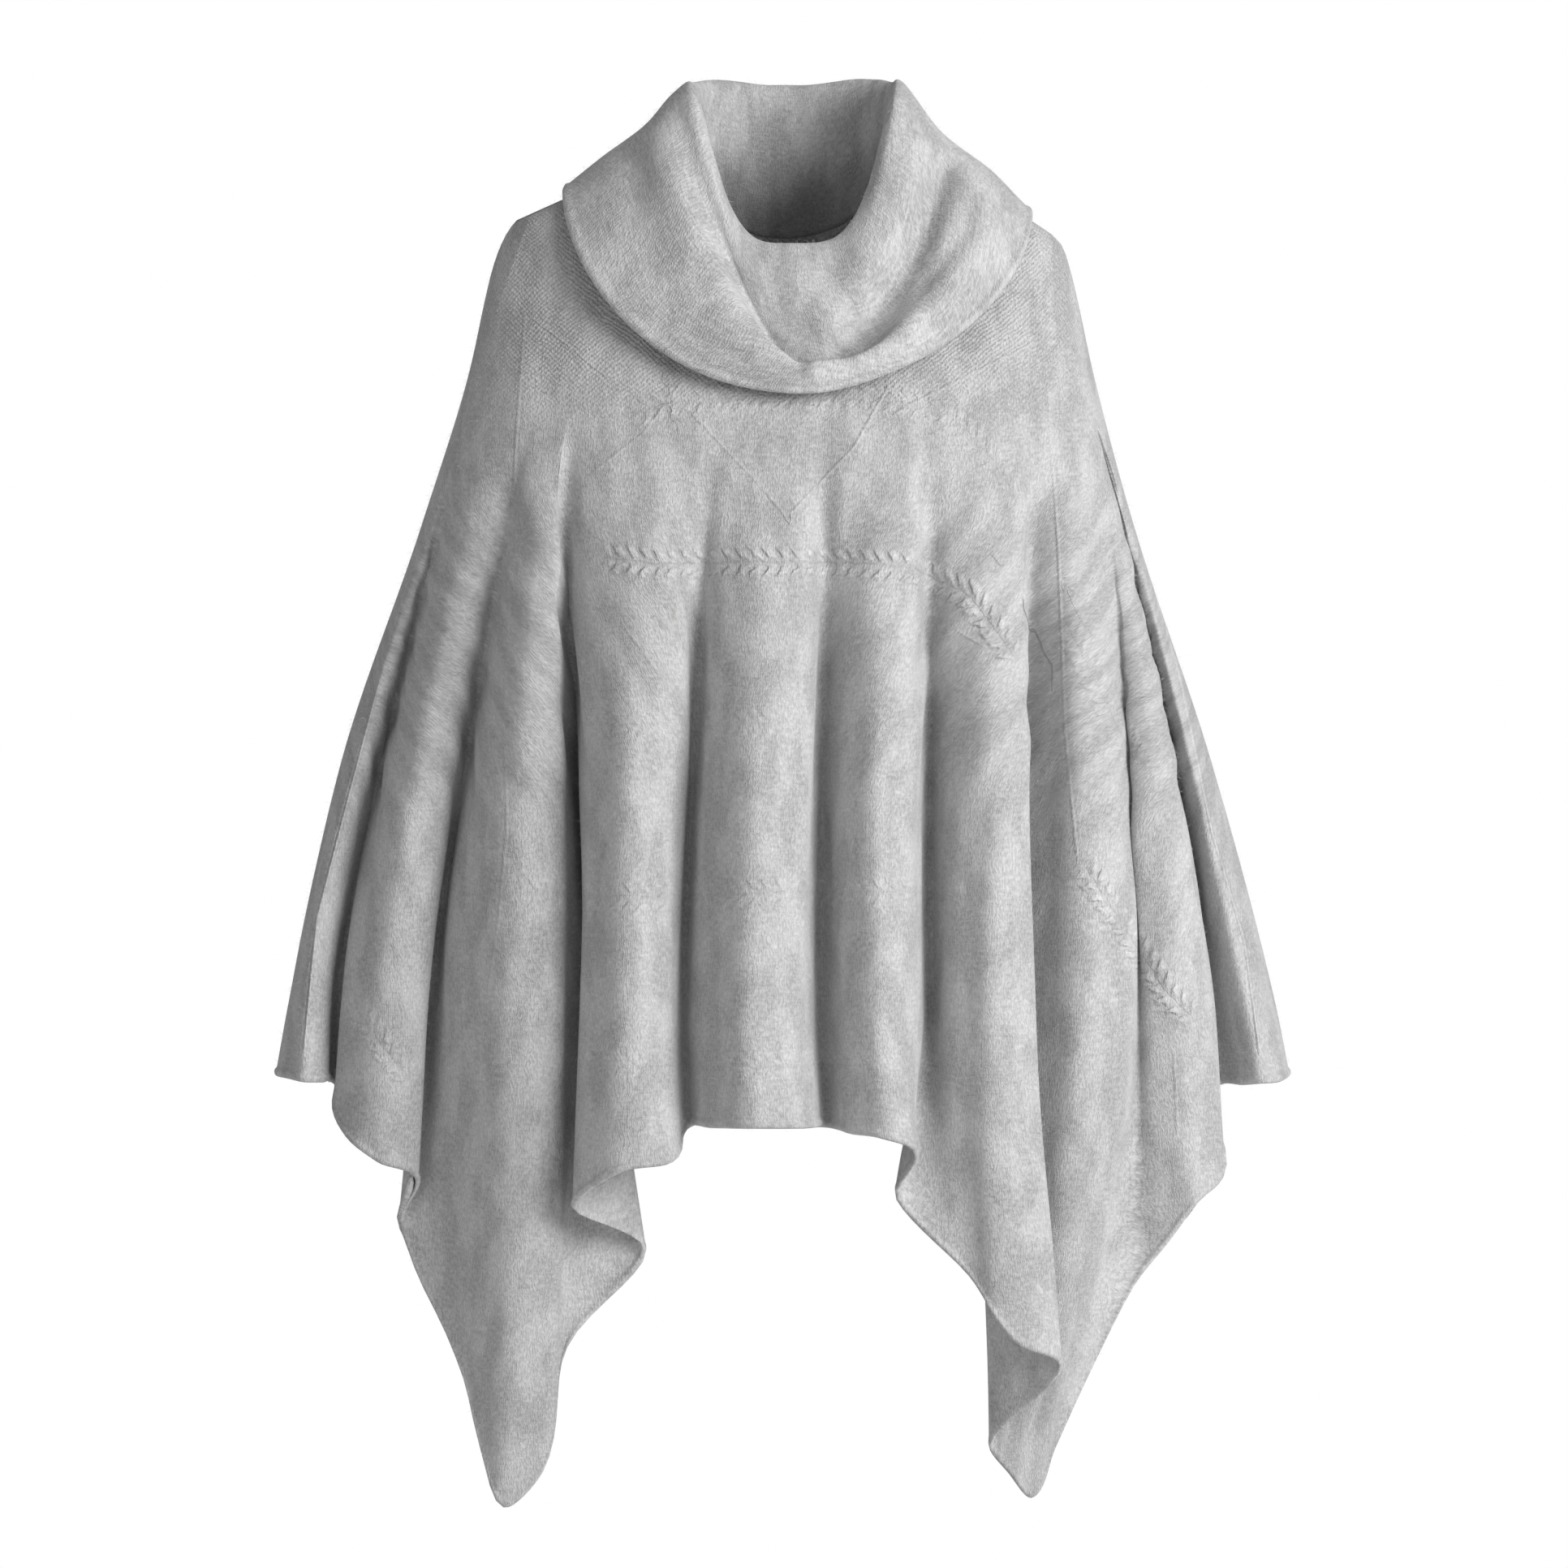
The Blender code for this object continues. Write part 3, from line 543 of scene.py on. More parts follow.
# Creases of the collar, drawn on its front as (x, z) points: how far each stands up and half its width.
collarCreases = (
    ("rightGroove", -9.0, 9.0, ((118, 6), (95, -64), (60, -122), (30, -146))),
    ("innerRoll", 6.0, 13.0, ((98, 20), (76, -58), (40, -112), (20, -135))),
    ("outerRidge", 4.0, 12.0, ((165, -35), (107, -110), (40, -152), (10, -158))),
    ("leftLip", 3.0, 8.0, ((-67, 45), (-56, 0), (-35, -70), (-15, -116), (12, -148))),
    ("leftDip", -3.5, 12.0, ((-112, 14), (-102, -20), (-106, -50))),
    ("lowCrease", -2.0, 5.0, ((-75, -125), (-45, -141), (-18, -149))),
    ("rightFold", -2.0, 6.0, ((140, -15), (125, -60), (92, -104))),
)


def collarRing(row, side, ahead):
    frontX, frontZ, front, right, rightZ, back, backZ, left, leftZ = row[:9]
    dipRight, dipLeft, fallPower, plan = row[9:]
    reach = np.where(side > 0, right, left)
    sideZ = np.where(side > 0, rightZ, leftZ)
    dip = np.where(side > 0, dipRight, dipLeft)
    facingFront = ahead > 0.0
    x = side * reach + np.where(facingFront, frontX * ahead**2, 0.0)
    y = np.where(facingFront, -front, back) * np.abs(ahead) ** plan
    endZ = np.where(facingFront, frontZ, backZ)
    fall = (1.0 - np.abs(side) ** np.where(facingFront, dip, 2.0)) ** np.where(facingFront, fallPower, 1.0)
    saddle = collar["saddle"] * np.where(facingFront, 0.0, 2.0 * side * ahead) ** 2
    return np.stack([x, y, blended(sideZ, endZ, fall) + saddle], axis=-1)


def neckColumns(front, back):  # the panels' edge points round the neck, with more between, and their angles
    half = garment["neckHalfWidth"]
    corners = [(x, -1.0) for x in front[0, :, 0] if abs(x) < half + 1e-3]
    corners += [(x, 1.0) for x in back[0, :, 0][::-1] if abs(x) < half - 1e-3]
    corners.append(corners[0])
    edges = [np.concatenate([topEdge(*one), topNormal(*one), neckRise(*one)]) for one in corners]
    side = np.array([x for x, _ in corners]) / half
    ahead = -np.array([facing for _, facing in corners]) * np.sqrt(np.clip(1.0 - side**2, 0.0, 1.0))
    turn = np.unwrap(np.arctan2(side, ahead))
    columns, angles = [], []
    for start, end, first, last in zip(edges, edges[1:], turn, turn[1:]):
        count = max(1, int(np.ceil((last - first) / collar["turn"])))
        for step in range(count):
            columns.append(blended(start, end, step / count))
            angles.append(blended(first, last, step / count))
    return np.array(columns), np.array(angles)


def collarCloth(front, back):
    columns, angles = neckColumns(front, back)
    edge, normal, rise = columns[:, :3], unit(columns[:, 3:6]), unit(columns[:, 6:])
    side, ahead = np.sin(angles), np.cos(angles)
    underEdge = edge + 0.5 * garment["seamGap"] * rise
    rings = [underEdge - garment["wall"] * normal]
    rings += [collarRing(row, side, ahead) for row in collarRings]
    points = np.stack(rings, axis=1)
    ends = (2 * points[:, 0] - points[:, 1], 2 * points[:, -1] - points[:, -2])
    shown = refined(points, collar["steps"], ends).transpose(1, 0, 2)
    wrapped = np.concatenate([shown[:, -1:], shown, shown[:, :1]], axis=1)
    normals = gridNormals(wrapped, 1.0)
    depth = squeezed(wrapped, -normals, garment["thinnest"], garment["wall"])[..., None]
    under = (wrapped + depth * normals)[:, 1:-1]
    under[0] = underEdge
    return shown, under, -normals[:, 1:-1], angles


def wallMesh(name, outer, inner, outward, closed, places, layers):
    rows, columns = outer.shape[:2]
    wall = outer - inner
    down = unit(outer[-1] - outer[-2])
    thickness = np.linalg.norm(wall[-1], axis=-1, keepdims=True)
    rim = 0.5 * (outer[-1] + inner[-1] + thickness * down)
    top = 0.5 * (outer[0] + inner[0])
    points = np.concatenate([outer, rim[None], inner[::-1], top[None]])
    source = np.concatenate([np.arange(rows), [rows - 1], np.arange(rows)[::-1], [0]])
    ringCount = len(points)
    strips = np.arange(columns if closed else columns - 1)
    ring, column = np.meshgrid(np.arange(ringCount), strips, indexing="ij")
    after, ahead = (ring + 1) % ringCount, column + 1
    corners = np.stack([(ring, column), (after, column), (after, ahead), (ring, ahead)], axis=-1)
    corners = corners.reshape(2, -1, 4)
    row, middle = rows // 2, columns // 2
    cross = np.cross(outer[row + 1, middle] - outer[row, middle], outer[row, middle + 1] - outer[row, middle])
    if (cross * outward[row, middle]).sum() < 0:
        corners = corners[:, :, ::-1]
    faces = (corners[0] * columns + corners[1] % columns).tolist()
    cornerRow, cornerColumn = source[corners[0]], corners[1]
    uv = places[cornerRow, cornerColumn].reshape(-1, 2)
    shown = (ring <= rows).reshape(-1)
    if not closed:
        ladder = [(row, row + 1, 2 * rows - row - 1, 2 * rows - row) for row in range(rows - 1)]
        ladder += [(rows - 1, rows, rows + 1), (2 * rows, 2 * rows + 1, 0)]
        for column, order in ((0, 1), (columns - 1, -1)):
            for step in ladder:
                step = step[::order]
                faces.append([row * columns + column for row in step])
                uv = np.concatenate([uv, [places[source[row], column] for row in step]])
        shown = np.concatenate([shown, np.zeros(len(faces) - len(shown), bool)])
    mesh = bpy.data.meshes.new(name)
    mesh.from_pydata((points.reshape(-1, 3) * mm).tolist(), [], faces)
    mesh.uv_layers.new(name="knit").data.foreach_set("uv", (uv * mm).astype(np.float32).ravel())
    mesh.attributes.new("shown", "BOOLEAN", "FACE").data.foreach_set("value", shown)
    for layer, values in layers.items():
        spread = np.concatenate([values, values[-1:], 0.0 * values, 0.0 * values[:1]])
        spread = spread.reshape(-1, 3).astype(np.float32)
        mesh.attributes.new(layer, "FLOAT_VECTOR", "POINT").data.foreach_set("vector", spread.ravel())
    mesh.shade_smooth()
    mesh.update()
    return mesh


def addPiece(name, mesh, material, node):
    piece = bpy.data.objects.new(name, mesh)
    bpy.context.scene.collection.objects.link(piece)
    mesh.materials.append(material)
    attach(piece, "root")
    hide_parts(node)
    return piece


def linearColour(hexColour):
    parts = [int(hexColour[place : place + 2], 16) / 255.0 for place in (1, 3, 5)]
    linear = [part / 12.92 if part <= 0.04045 else ((part + 0.055) / 1.055) ** 2.4 for part in parts]
    return (*linear, 1.0)


def addNode(tree, kind, settings=None, **links):  # in0 or inScale takes a node, socket or value
    node = tree.nodes.new(kind)
    for name, value in (settings or {}).items():
        setattr(node, name, value)
    for name, value in links.items():
        key = name[2:]
        socket = node.inputs[int(key) if key.isdigit() else key.replace("_", " ")]
        if isinstance(value, bpy.types.Node):
            value = value.outputs[0]
        if isinstance(value, bpy.types.NodeSocket):
            tree.links.new(value, socket)
        else:
            socket.default_value = value
    return node


knit = {
    "waleWidth": 2.7,  # one column of stitches, drawn a little coarse so that it shows
    "courseHeight": 2.2,
    "lean": 0.85,  # how far the two legs of a stitch lean
    "tuftWidth": 1.4,  # the nap stands in small tufts, drawn out along the brushing
    "tuftLength": 3.6,
    "tuftRise": 1.15,
    "patchWidth": 22.0,  # where the nap lies more or less felted
    "patchLength": 48.0,
    "streaksPerMm": (0.13, 0.5, 1.0),  # of the melange, across and along
    "purlWidth": 4.4,  # two purl bumps across, where the yoke is hardly brushed
    "purlHeight": 3.8,
    "yokeFrom": -70.0,  # the nap thins out above this height over the chest
    "yokeFull": 30.0,
    "swirl": (0.022, 7.0),  # the brushing wanders in slow turns: how many for each mm, and how far
    "jitter": (0.12, 3.0),
    "crooked": (0.16, 4.0, 2.5),  # the same for a plait, along it and across
    "rise": {"stitch": 0.42, "purl": 0.5, "cable": 1.8, "groove": -0.35, "line": 0.8},
    # tone: painted highlights on stitch legs, purl bumps, cable rows and raised lines, painted shade between
    # stitches and in the cable groove; the strip beyond the overarm seams is a darker knit
    "tone": {"stitch": 0.18, "purl": 0.05, "cable": 0.13, "groove": -0.09, "line": 0.05, "strip": -0.07},
    "plainTone": 0.85,
    "light": "#d0d0d0",
    "dark": "#979797",
    "bump": 0.9,
    "roughness": 0.92,
    "specular": 0.2,
    "sheen": 0.3,
    "sheenRoughness": 0.5,
    "ior": 1.54,
}


def brushedMelangeKnit(name, tone, brushed):
    # Wool blend yarn of two greys spun together, knitted in stockinette and then brushed: soft tufts of nap
    # run down the cloth and half hide the stitches, and the melange breaks into short streaks of grey.
    material = bpy.data.materials.new(name)
    material.use_nodes = True
    tree = material.node_tree
    shader = tree.nodes["Principled BSDF"]
    flat, smooth = {"noise_dimensions": "2D"}, {"interpolation_type": "SMOOTHSTEP"}
    add, subtract, multiply = ({"operation": kind} for kind in ("ADD", "SUBTRACT", "MULTIPLY"))
    divide, fraction, absolute = ({"operation": kind} for kind in ("DIVIDE", "FRACT", "ABSOLUTE"))
    cosine, multiplyAdd, scaled = ({"operation": kind} for kind in ("COSINE", "MULTIPLY_ADD", "SCALE"))

    # The cloth's own millimetres, and the same bent a little as the brushing wanders.
    uv = addNode(tree, "ShaderNodeUVMap", {"uv_map": "knit"})
    inMm = addNode(tree, "ShaderNodeVectorMath", scaled, in0=uv, inScale=1.0 / mm)
    place = inMm
    for scale, reach in (knit["swirl"], knit["jitter"]):
        shift = addNode(tree, "ShaderNodeTexNoise", flat, inVector=inMm, inScale=scale, inDetail=2.0)
        shift = addNode(tree, "ShaderNodeVectorMath", subtract, in0=shift.outputs[1], in1=(0.5, 0.5, 0.5))
        shift = addNode(tree, "ShaderNodeVectorMath", scaled, in0=shift, inScale=reach)
        place = addNode(tree, "ShaderNodeVectorMath", add, in0=place, in1=shift)
    bent = addNode(tree, "ShaderNodeSeparateXYZ", in0=place)
    unbent = addNode(tree, "ShaderNodeSeparateXYZ", in0=inMm)

    # Stockinette: in each wale two legs lean together, loop over loop.
    wale = addNode(tree, "ShaderNodeMath", divide, in0=bent.outputs[0], in1=knit["waleWidth"])
    course = addNode(tree, "ShaderNodeMath", divide, in0=bent.outputs[1], in1=knit["courseHeight"])
    inWale = addNode(tree, "ShaderNodeMath", fraction, in0=wale)
    inWale = addNode(tree, "ShaderNodeMath", subtract, in0=inWale, in1=0.5)
    fromMiddle = addNode(tree, "ShaderNodeMath", absolute, in0=inWale)
    leg = addNode(tree, "ShaderNodeMath", subtract, in0=fromMiddle, in1=0.25)
    leg = addNode(tree, "ShaderNodeMath", absolute, in0=leg)
    leg = addNode(tree, "ShaderNodeMapRange", smooth, in0=leg, in1=0.0, in2=0.25, in3=1.0, in4=0.0)
    slant = addNode(tree, "ShaderNodeMath", multiplyAdd, in0=fromMiddle, in1=2.0 * knit["lean"], in2=course)
    slant = addNode(tree, "ShaderNodeMath", multiply, in0=slant, in1=2.0 * math.pi)
    loop = addNode(tree, "ShaderNodeMath", cosine, in0=slant)
    loop = addNode(tree, "ShaderNodeMath", multiplyAdd, in0=loop, in1=0.42, in2=0.58)
    stitch = addNode(tree, "ShaderNodeMath", multiply, in0=leg, in1=loop)

    # Purl bumps on the yoke, where the nap is thin.
    bumps = []
    for axis, width in ((0, knit["purlWidth"]), (1, knit["purlHeight"])):
        turn = addNode(tree, "ShaderNodeMath", multiply, in0=bent.outputs[axis], in1=2.0 * math.pi / width)
        bumps.append(addNode(tree, "ShaderNodeMath", cosine, in0=turn))
    purl = addNode(tree, "ShaderNodeMath", multiply, in0=bumps[0], in1=bumps[1])
    yoke = addNode(tree, "ShaderNodeMapRange", smooth, in0=unbent.outputs[1], in1=knit["yokeFrom"],
                   in2=knit["yokeFull"])
    yoke = addNode(tree, "ShaderNodeMath", multiply, in0=yoke, in1=1.0 if brushed > 0.8 else 0.0)
    purl = addNode(tree, "ShaderNodeMath", multiply, in0=purl, in1=yoke)

    # Nap: tufts in more and less felted patches, which let the stitches show or hide them.
    drawnOut = (1.0 / knit["tuftWidth"], 1.0 / knit["tuftLength"], 1.0)
    tufts = addNode(tree, "ShaderNodeVectorMath", multiply, in0=place, in1=drawnOut)
    tufts = addNode(tree, "ShaderNodeTexNoise", flat, inVector=tufts, inScale=1.0, inDetail=3.0,
                    inRoughness=0.6)
    drawnOut = (1.0 / knit["patchWidth"], 1.0 / knit["patchLength"], 1.0)
    patches = addNode(tree, "ShaderNodeVectorMath", multiply, in0=place, in1=drawnOut)
    patches = addNode(tree, "ShaderNodeTexNoise", flat, inVector=patches, inScale=1.0, inDetail=3.0)
    felted = addNode(tree, "ShaderNodeMapRange", smooth, in0=patches, in1=0.36, in2=0.64, in3=0.35, in4=1.0)
    nap = addNode(tree, "ShaderNodeMath", multiply, in0=tufts, in1=felted)
    height = addNode(tree, "ShaderNodeMath", multiply, in0=nap, in1=knit["tuftRise"] * (0.3 + 0.7 * brushed))
    seen = addNode(tree, "ShaderNodeMapRange", smooth, in0=patches, in1=0.36, in2=0.66,
                   in3=1.0 - 0.3 * brushed, in4=1.0 - 0.8 * brushed)
    stitch = addNode(tree, "ShaderNodeMath", multiply, in0=stitch, in1=seen)

    # Cables: two rows of leaning lozenges with a groove between them, a little crooked.
    cable = addNode(tree, "ShaderNodeAttribute", {"attribute_name": "cable"}).outputs[1]
    cable = addNode(tree, "ShaderNodeSeparateXYZ", in0=cable)
    scale, alongReach, acrossReach = knit["crooked"]
    crooked = addNode(tree, "ShaderNodeTexNoise", flat, inVector=inMm, inScale=scale, inDetail=1.0)
    crooked = addNode(tree, "ShaderNodeMath", subtract, in0=crooked, in1=0.5)
    across = addNode(tree, "ShaderNodeMath", multiplyAdd, in0=crooked, in1=acrossReach, in2=cable.outputs[1])
    along = addNode(tree, "ShaderNodeMath", multiplyAdd, in0=crooked, in1=alongReach, in2=cable.outputs[0])
    fromGroove = addNode(tree, "ShaderNodeMath", absolute, in0=across)
    row = addNode(tree, "ShaderNodeMath", subtract, in0=fromGroove, in1=frontCables["rowMiddle"])
    row = addNode(tree, "ShaderNodeMath", absolute, in0=row)
    row = addNode(tree, "ShaderNodeMapRange", smooth, in0=row, in1=1.0, in2=frontCables["rowHalf"],
                  in3=1.0, in4=0.0)
    turn = addNode(tree, "ShaderNodeMath", multiplyAdd, in0=fromGroove, in1=frontCables["lean"], in2=along)
    turn = addNode(tree, "ShaderNodeMath", multiply, in0=turn, in1=2.0 * math.pi / frontCables["pitch"])
    turn = addNode(tree, "ShaderNodeMath", cosine, in0=turn)
    lozenge = addNode(tree, "ShaderNodeMapRange", smooth, in0=turn, in1=-0.9, in2=0.7)
    plait = addNode(tree, "ShaderNodeMath", multiply, in0=row, in1=lozenge)
    plait = addNode(tree, "ShaderNodeMath", multiply, in0=plait, in1=cable.outputs[2])
    groove = addNode(tree, "ShaderNodeMapRange", smooth, in0=fromGroove, in1=0.2,
                     in2=frontCables["grooveHalf"], in3=1.0, in4=0.0)
    groove = addNode(tree, "ShaderNodeMath", multiply, in0=groove, in1=cable.outputs[2])

    # Raised lines and the overarm seams.
    line = addNode(tree, "ShaderNodeAttribute", {"attribute_name": "line"}).outputs[1]
    line = addNode(tree, "ShaderNodeSeparateXYZ", in0=line)
    ridge = addNode(tree, "ShaderNodeMath", absolute, in0=line.outputs[0])
    ridge = addNode(tree, "ShaderNodeMapRange", smooth, in0=ridge, in1=0.0, in2=knitLines["halfWidth"],
                    in3=1.0, in4=0.0)
    ridge = addNode(tree, "ShaderNodeMath", multiply, in0=ridge, in1=line.outputs[1])

    relief = {"stitch": stitch, "purl": purl, "cable": plait, "groove": groove, "line": ridge}
    for kind, rise in knit["rise"].items():
        height = addNode(tree, "ShaderNodeMath", multiplyAdd, in0=relief[kind], in1=rise, in2=height)
    bump = addNode(tree, "ShaderNodeBump", inStrength=knit["bump"], inDistance=mm, inHeight=height)

    # Colour: the melange of the two greys, then painted highlights on what stands up and painted shade in the
    # hollows.
    streaks = addNode(tree, "ShaderNodeVectorMath", multiply, in0=place, in1=knit["streaksPerMm"])
    streaks = addNode(tree, "ShaderNodeTexNoise", flat, inVector=streaks, inScale=1.0, inDetail=3.0,
                      inRoughness=0.65)
    melange = addNode(tree, "ShaderNodeMapRange", smooth, in0=streaks, in1=0.32, in2=0.7, in3=0.0,
                      in4=0.55 - 0.35 * brushed)
    for source, start, end in ((tufts, 0.34, 0.68), (patches, 0.36, 0.66)):
        light = addNode(tree, "ShaderNodeMapRange", smooth, in0=source, in1=start, in2=end, in3=0.0, in4=0.4)
        melange = addNode(tree, "ShaderNodeMath", add, in0=melange, in1=light)
    colour = addNode(tree, "ShaderNodeMix", {"data_type": "RGBA"}, in0=melange,
                     in6=linearColour(knit["dark"]), in7=linearColour(knit["light"]))
    toneAndPaintedShading = knit["plainTone"] * tone
    relief["strip"] = line.outputs[2]
    # Painted light and shade: the colour lightens where the relief stands up and darkens in the groove and
    # between stitches; the strip darkens as a plainer knit.
    for kind, share in knit["tone"].items():
        toneAndPaintedShading = addNode(tree, "ShaderNodeMath", multiplyAdd, in0=relief[kind], in1=share, in2=toneAndPaintedShading)
    colourWithPaintedShading = addNode(tree, "ShaderNodeMix", {"data_type": "RGBA", "blend_type": "MULTIPLY"}, in0=1.0,
                     in6=colour.outputs[2], in7=toneAndPaintedShading)
    tree.links.new(colourWithPaintedShading.outputs[2], shader.inputs["Base Color"])
    tree.links.new(bump.outputs[0], shader.inputs["Normal"])
    shader.inputs["Roughness"].default_value = knit["roughness"]
    shader.inputs["Sheen Weight"].default_value = knit["sheen"]
    shader.inputs["Sheen Roughness"].default_value = knit["sheenRoughness"]
    shader.inputs["Specular IOR Level"].default_value = knit["specular"]
    shader.inputs["IOR"].default_value = knit["ior"]
    return material


fibres = {
    "width": 0.07,
    "length": 3.8,
    "lengthShares": (0.35, 1.25),
    "bend": ((0.0, 0.0, 0.0), (0.25, 0.05, 0.45), (0.1, 0.3, 0.9)),  # of a fibre of length 1
    "lean": 1.35,  # most from upright, in radians
    "perSquareMetre": 60000,
    "most": 32500,  # on one piece
    "seed": 7,
    "colour": "#cbcbcb",
    "roughness": 0.85,
    "specular": 0.25,
    "sheen": 0.4,
}


def looseFibre():
    # Brushed-up wool fibres: thin, matt, a touch lighter than the yarn, so that edges dissolve into a halo.
    material = bpy.data.materials.new("brushed_wool_fibre")
    material.use_nodes = True
    shader = material.node_tree.nodes["Principled BSDF"]
    shader.inputs["Base Color"].default_value = linearColour(fibres["colour"])
    shader.inputs["Roughness"].default_value = fibres["roughness"]
    shader.inputs["Sheen Weight"].default_value = fibres["sheen"]
    shader.inputs["Specular IOR Level"].default_value = fibres["specular"]
    return material


def fibreTree(material):  # scatters short bent fibres over the shown side of a cloth
    tree = bpy.data.node_groups.new("brushedFibres", "GeometryNodeTree")
    face = tree.interface
    face.new_socket("Geometry", in_out="INPUT", socket_type="NodeSocketGeometry")
    for name, kind in (("Density", "Float"), ("Length", "Float"), ("Width", "Float"), ("Seed", "Int")):
        face.new_socket(name, in_out="INPUT", socket_type=f"NodeSocket{kind}")
    face.new_socket("Geometry", in_out="OUTPUT", socket_type="NodeSocketGeometry")
    given = tree.nodes.new("NodeGroupInput").outputs
    made = tree.nodes.new("NodeGroupOutput")
    multiply = {"operation": "MULTIPLY"}
    shown = addNode(tree, "GeometryNodeInputNamedAttribute", {"data_type": "BOOLEAN"}, inName="shown")
    scatter = addNode(tree, "GeometryNodeDistributePointsOnFaces", inMesh=given["Geometry"],
                      inSelection=shown, inDensity=given["Density"], inSeed=given["Seed"])
    start, middle, end = fibres["bend"]
    bend = addNode(tree, "GeometryNodeCurveQuadraticBezier", inResolution=2, inStart=start,
                   inMiddle=middle, inEnd=end)
    half = addNode(tree, "ShaderNodeMath", multiply, in0=given["Width"], in1=0.5)
    otherHalf = addNode(tree, "ShaderNodeMath", multiply, in0=half, in1=-1.0)
    edges = [addNode(tree, "ShaderNodeCombineXYZ", in0=x) for x in (otherHalf, half)]
    across = addNode(tree, "GeometryNodeCurvePrimitiveLine", {"mode": "POINTS"}, in0=edges[0], in1=edges[1])
    ribbon = addNode(tree, "GeometryNodeCurveToMesh", inCurve=bend, inProfile_Curve=across)
    shortest, longest = fibres["lengthShares"]
    length = addNode(tree, "FunctionNodeRandomValue", {"data_type": "FLOAT"}, in2=shortest, in3=longest,
                     inSeed=3)
    length = addNode(tree, "ShaderNodeMath", multiply, in0=length.outputs[1], in1=given["Length"])
    tilt = fibres["lean"]
    lean = addNode(tree, "FunctionNodeRandomValue", {"data_type": "FLOAT_VECTOR"}, in0=(-tilt, -tilt, 0.0),
                   in1=(tilt, tilt, 2.0 * math.pi), inSeed=5)
    turned = addNode(tree, "FunctionNodeRotateRotation", {"rotation_space": "LOCAL"},
                     in0=scatter.outputs["Rotation"], in1=lean)
    placed = addNode(tree, "GeometryNodeInstanceOnPoints", inPoints=scatter, inInstance=ribbon,
                     inRotation=turned, inScale=length)
    real = addNode(tree, "GeometryNodeRealizeInstances", inGeometry=placed)
    coated = addNode(tree, "GeometryNodeSetMaterial", inGeometry=real, inMaterial=material)
    tree.links.new(coated.outputs[0], made.inputs[0])
    return tree


def addFibres(cloth, tree, name, shownArea):
    holder = bpy.data.objects.new(name + "Holder", cloth.data)
    bpy.context.scene.collection.objects.link(holder)
    modifier = holder.modifiers.new("brushedFibres", "NODES")
    modifier.node_group = tree
    sockets = {item.name: item.identifier for item in tree.interface.items_tree if item.in_out == "INPUT"}
    count = min(fibres["perSquareMetre"] * shownArea, fibres["most"])
    modifier[sockets["Density"]] = count / shownArea
    modifier[sockets["Length"]] = fibres["length"] * mm
    modifier[sockets["Width"]] = fibres["width"] / fibres["length"]
    modifier[sockets["Seed"]] = fibres["seed"]
    bpy.context.view_layer.update()
    graph = bpy.context.evaluated_depsgraph_get()
    mesh = bpy.data.meshes.new_from_object(holder.evaluated_get(graph))
    bpy.data.objects.remove(holder, do_unlink=True)
    mesh.name = name
    fuzz = bpy.data.objects.new(name, mesh)
    bpy.context.scene.collection.objects.link(fuzz)
    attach(fuzz, "root")
    print(name, len(mesh.polygons), "faces")
    return fuzz


def gridArea(grid):
    across, down = np.diff(grid, axis=1)[:-1], np.diff(grid, axis=0)[:, :-1]
    return float(np.linalg.norm(np.cross(across, down), axis=2).sum()) * mm * mm


def dressPanel(name, node, outer, inner, normals, facing, material, relief):
    places = knitPlaces(outer, facing)
    wave = unevenness(places)
    wave *= smoothStep(outer[..., 2], garment["foldsStart"] + 90.0, garment["foldsStart"] - 90.0)
    roll = garment["hemRoll"] * hemRoll(outer)
    column = np.arange(outer.shape[1])
    fromSeam = np.minimum(column, column[::-1]) / garment["steps"]
    shift = (wave * smoothStep(fromSeam, 0.8, 4.0))[..., None] * normals
    outer = outer + shift + roll[..., None] * normals
    inner = inner + shift - garment["hemRollUnder"] * roll[..., None] * normals
    cable = line = np.zeros(outer.shape)
    if relief:
        cable, line = reliefPlaces(outer[..., [0, 2]])
    mesh = wallMesh(name, outer, inner, normals, False, places, {"cable": cable, "line": line})
    piece = addPiece(name, mesh, material, node)
    print(name, len(mesh.polygons), "faces")
    return piece, gridArea(outer)


def dressCollar(front, back, material):
    shown, under, outward, angles = collarCloth(front, back)
    run = np.linalg.norm(np.diff(shown, axis=0), axis=2)
    rise = np.concatenate([np.zeros((1, shown.shape[1])), np.cumsum(run, axis=0)])
    share = np.append((angles - angles[0]) / (2.0 * math.pi), 1.0)
    total = knit["waleWidth"] * round(collar["waleTotal"] / knit["waleWidth"])
    across = np.broadcast_to(total * share, (len(shown), len(share)))
    places = np.stack([across, np.concatenate([rise, rise[:, :1]], axis=1)], axis=-1)
    wave = collar["waveShare"] * unevenness(places[:, :-1] * collar["waveScale"])
    wave *= smoothStep(rise, *collar["waveFrom"]) * np.sin(math.pi * share[:-1]) ** 2
    flap = smoothStep(outward[..., 1], *collar["creaseFacing"]) * smoothStep(rise, *collar["creaseFrom"])
    for _, height, half, path in collarCreases:
        _, offset, fade = alongPath(shown[..., [0, 2]], path)
        wave += flap * fade * height * np.exp(-((offset / half) ** 2))
    roll = garment["hemRoll"] * hemRoll(shown)
    shown = shown + (wave + roll)[..., None] * outward
    under = under + (wave - garment["hemRollUnder"] * roll)[..., None] * outward
    plain = np.zeros(shown.shape)
    mesh = wallMesh("collarKnit", shown, under, outward, True, places, {"cable": plain, "line": plain})
    piece = addPiece("collarKnit", mesh, material, "collar")
    print("collarKnit", len(mesh.polygons), "faces")
    return piece, gridArea(shown)


brushedKnit = brushedMelangeKnit("brushed_melange_knit", 1.0, 1.0)
plainKnit = brushedMelangeKnit("lightly_brushed_melange_knit", 0.98, 0.6)
fibreNodes = fibreTree(looseFibre())

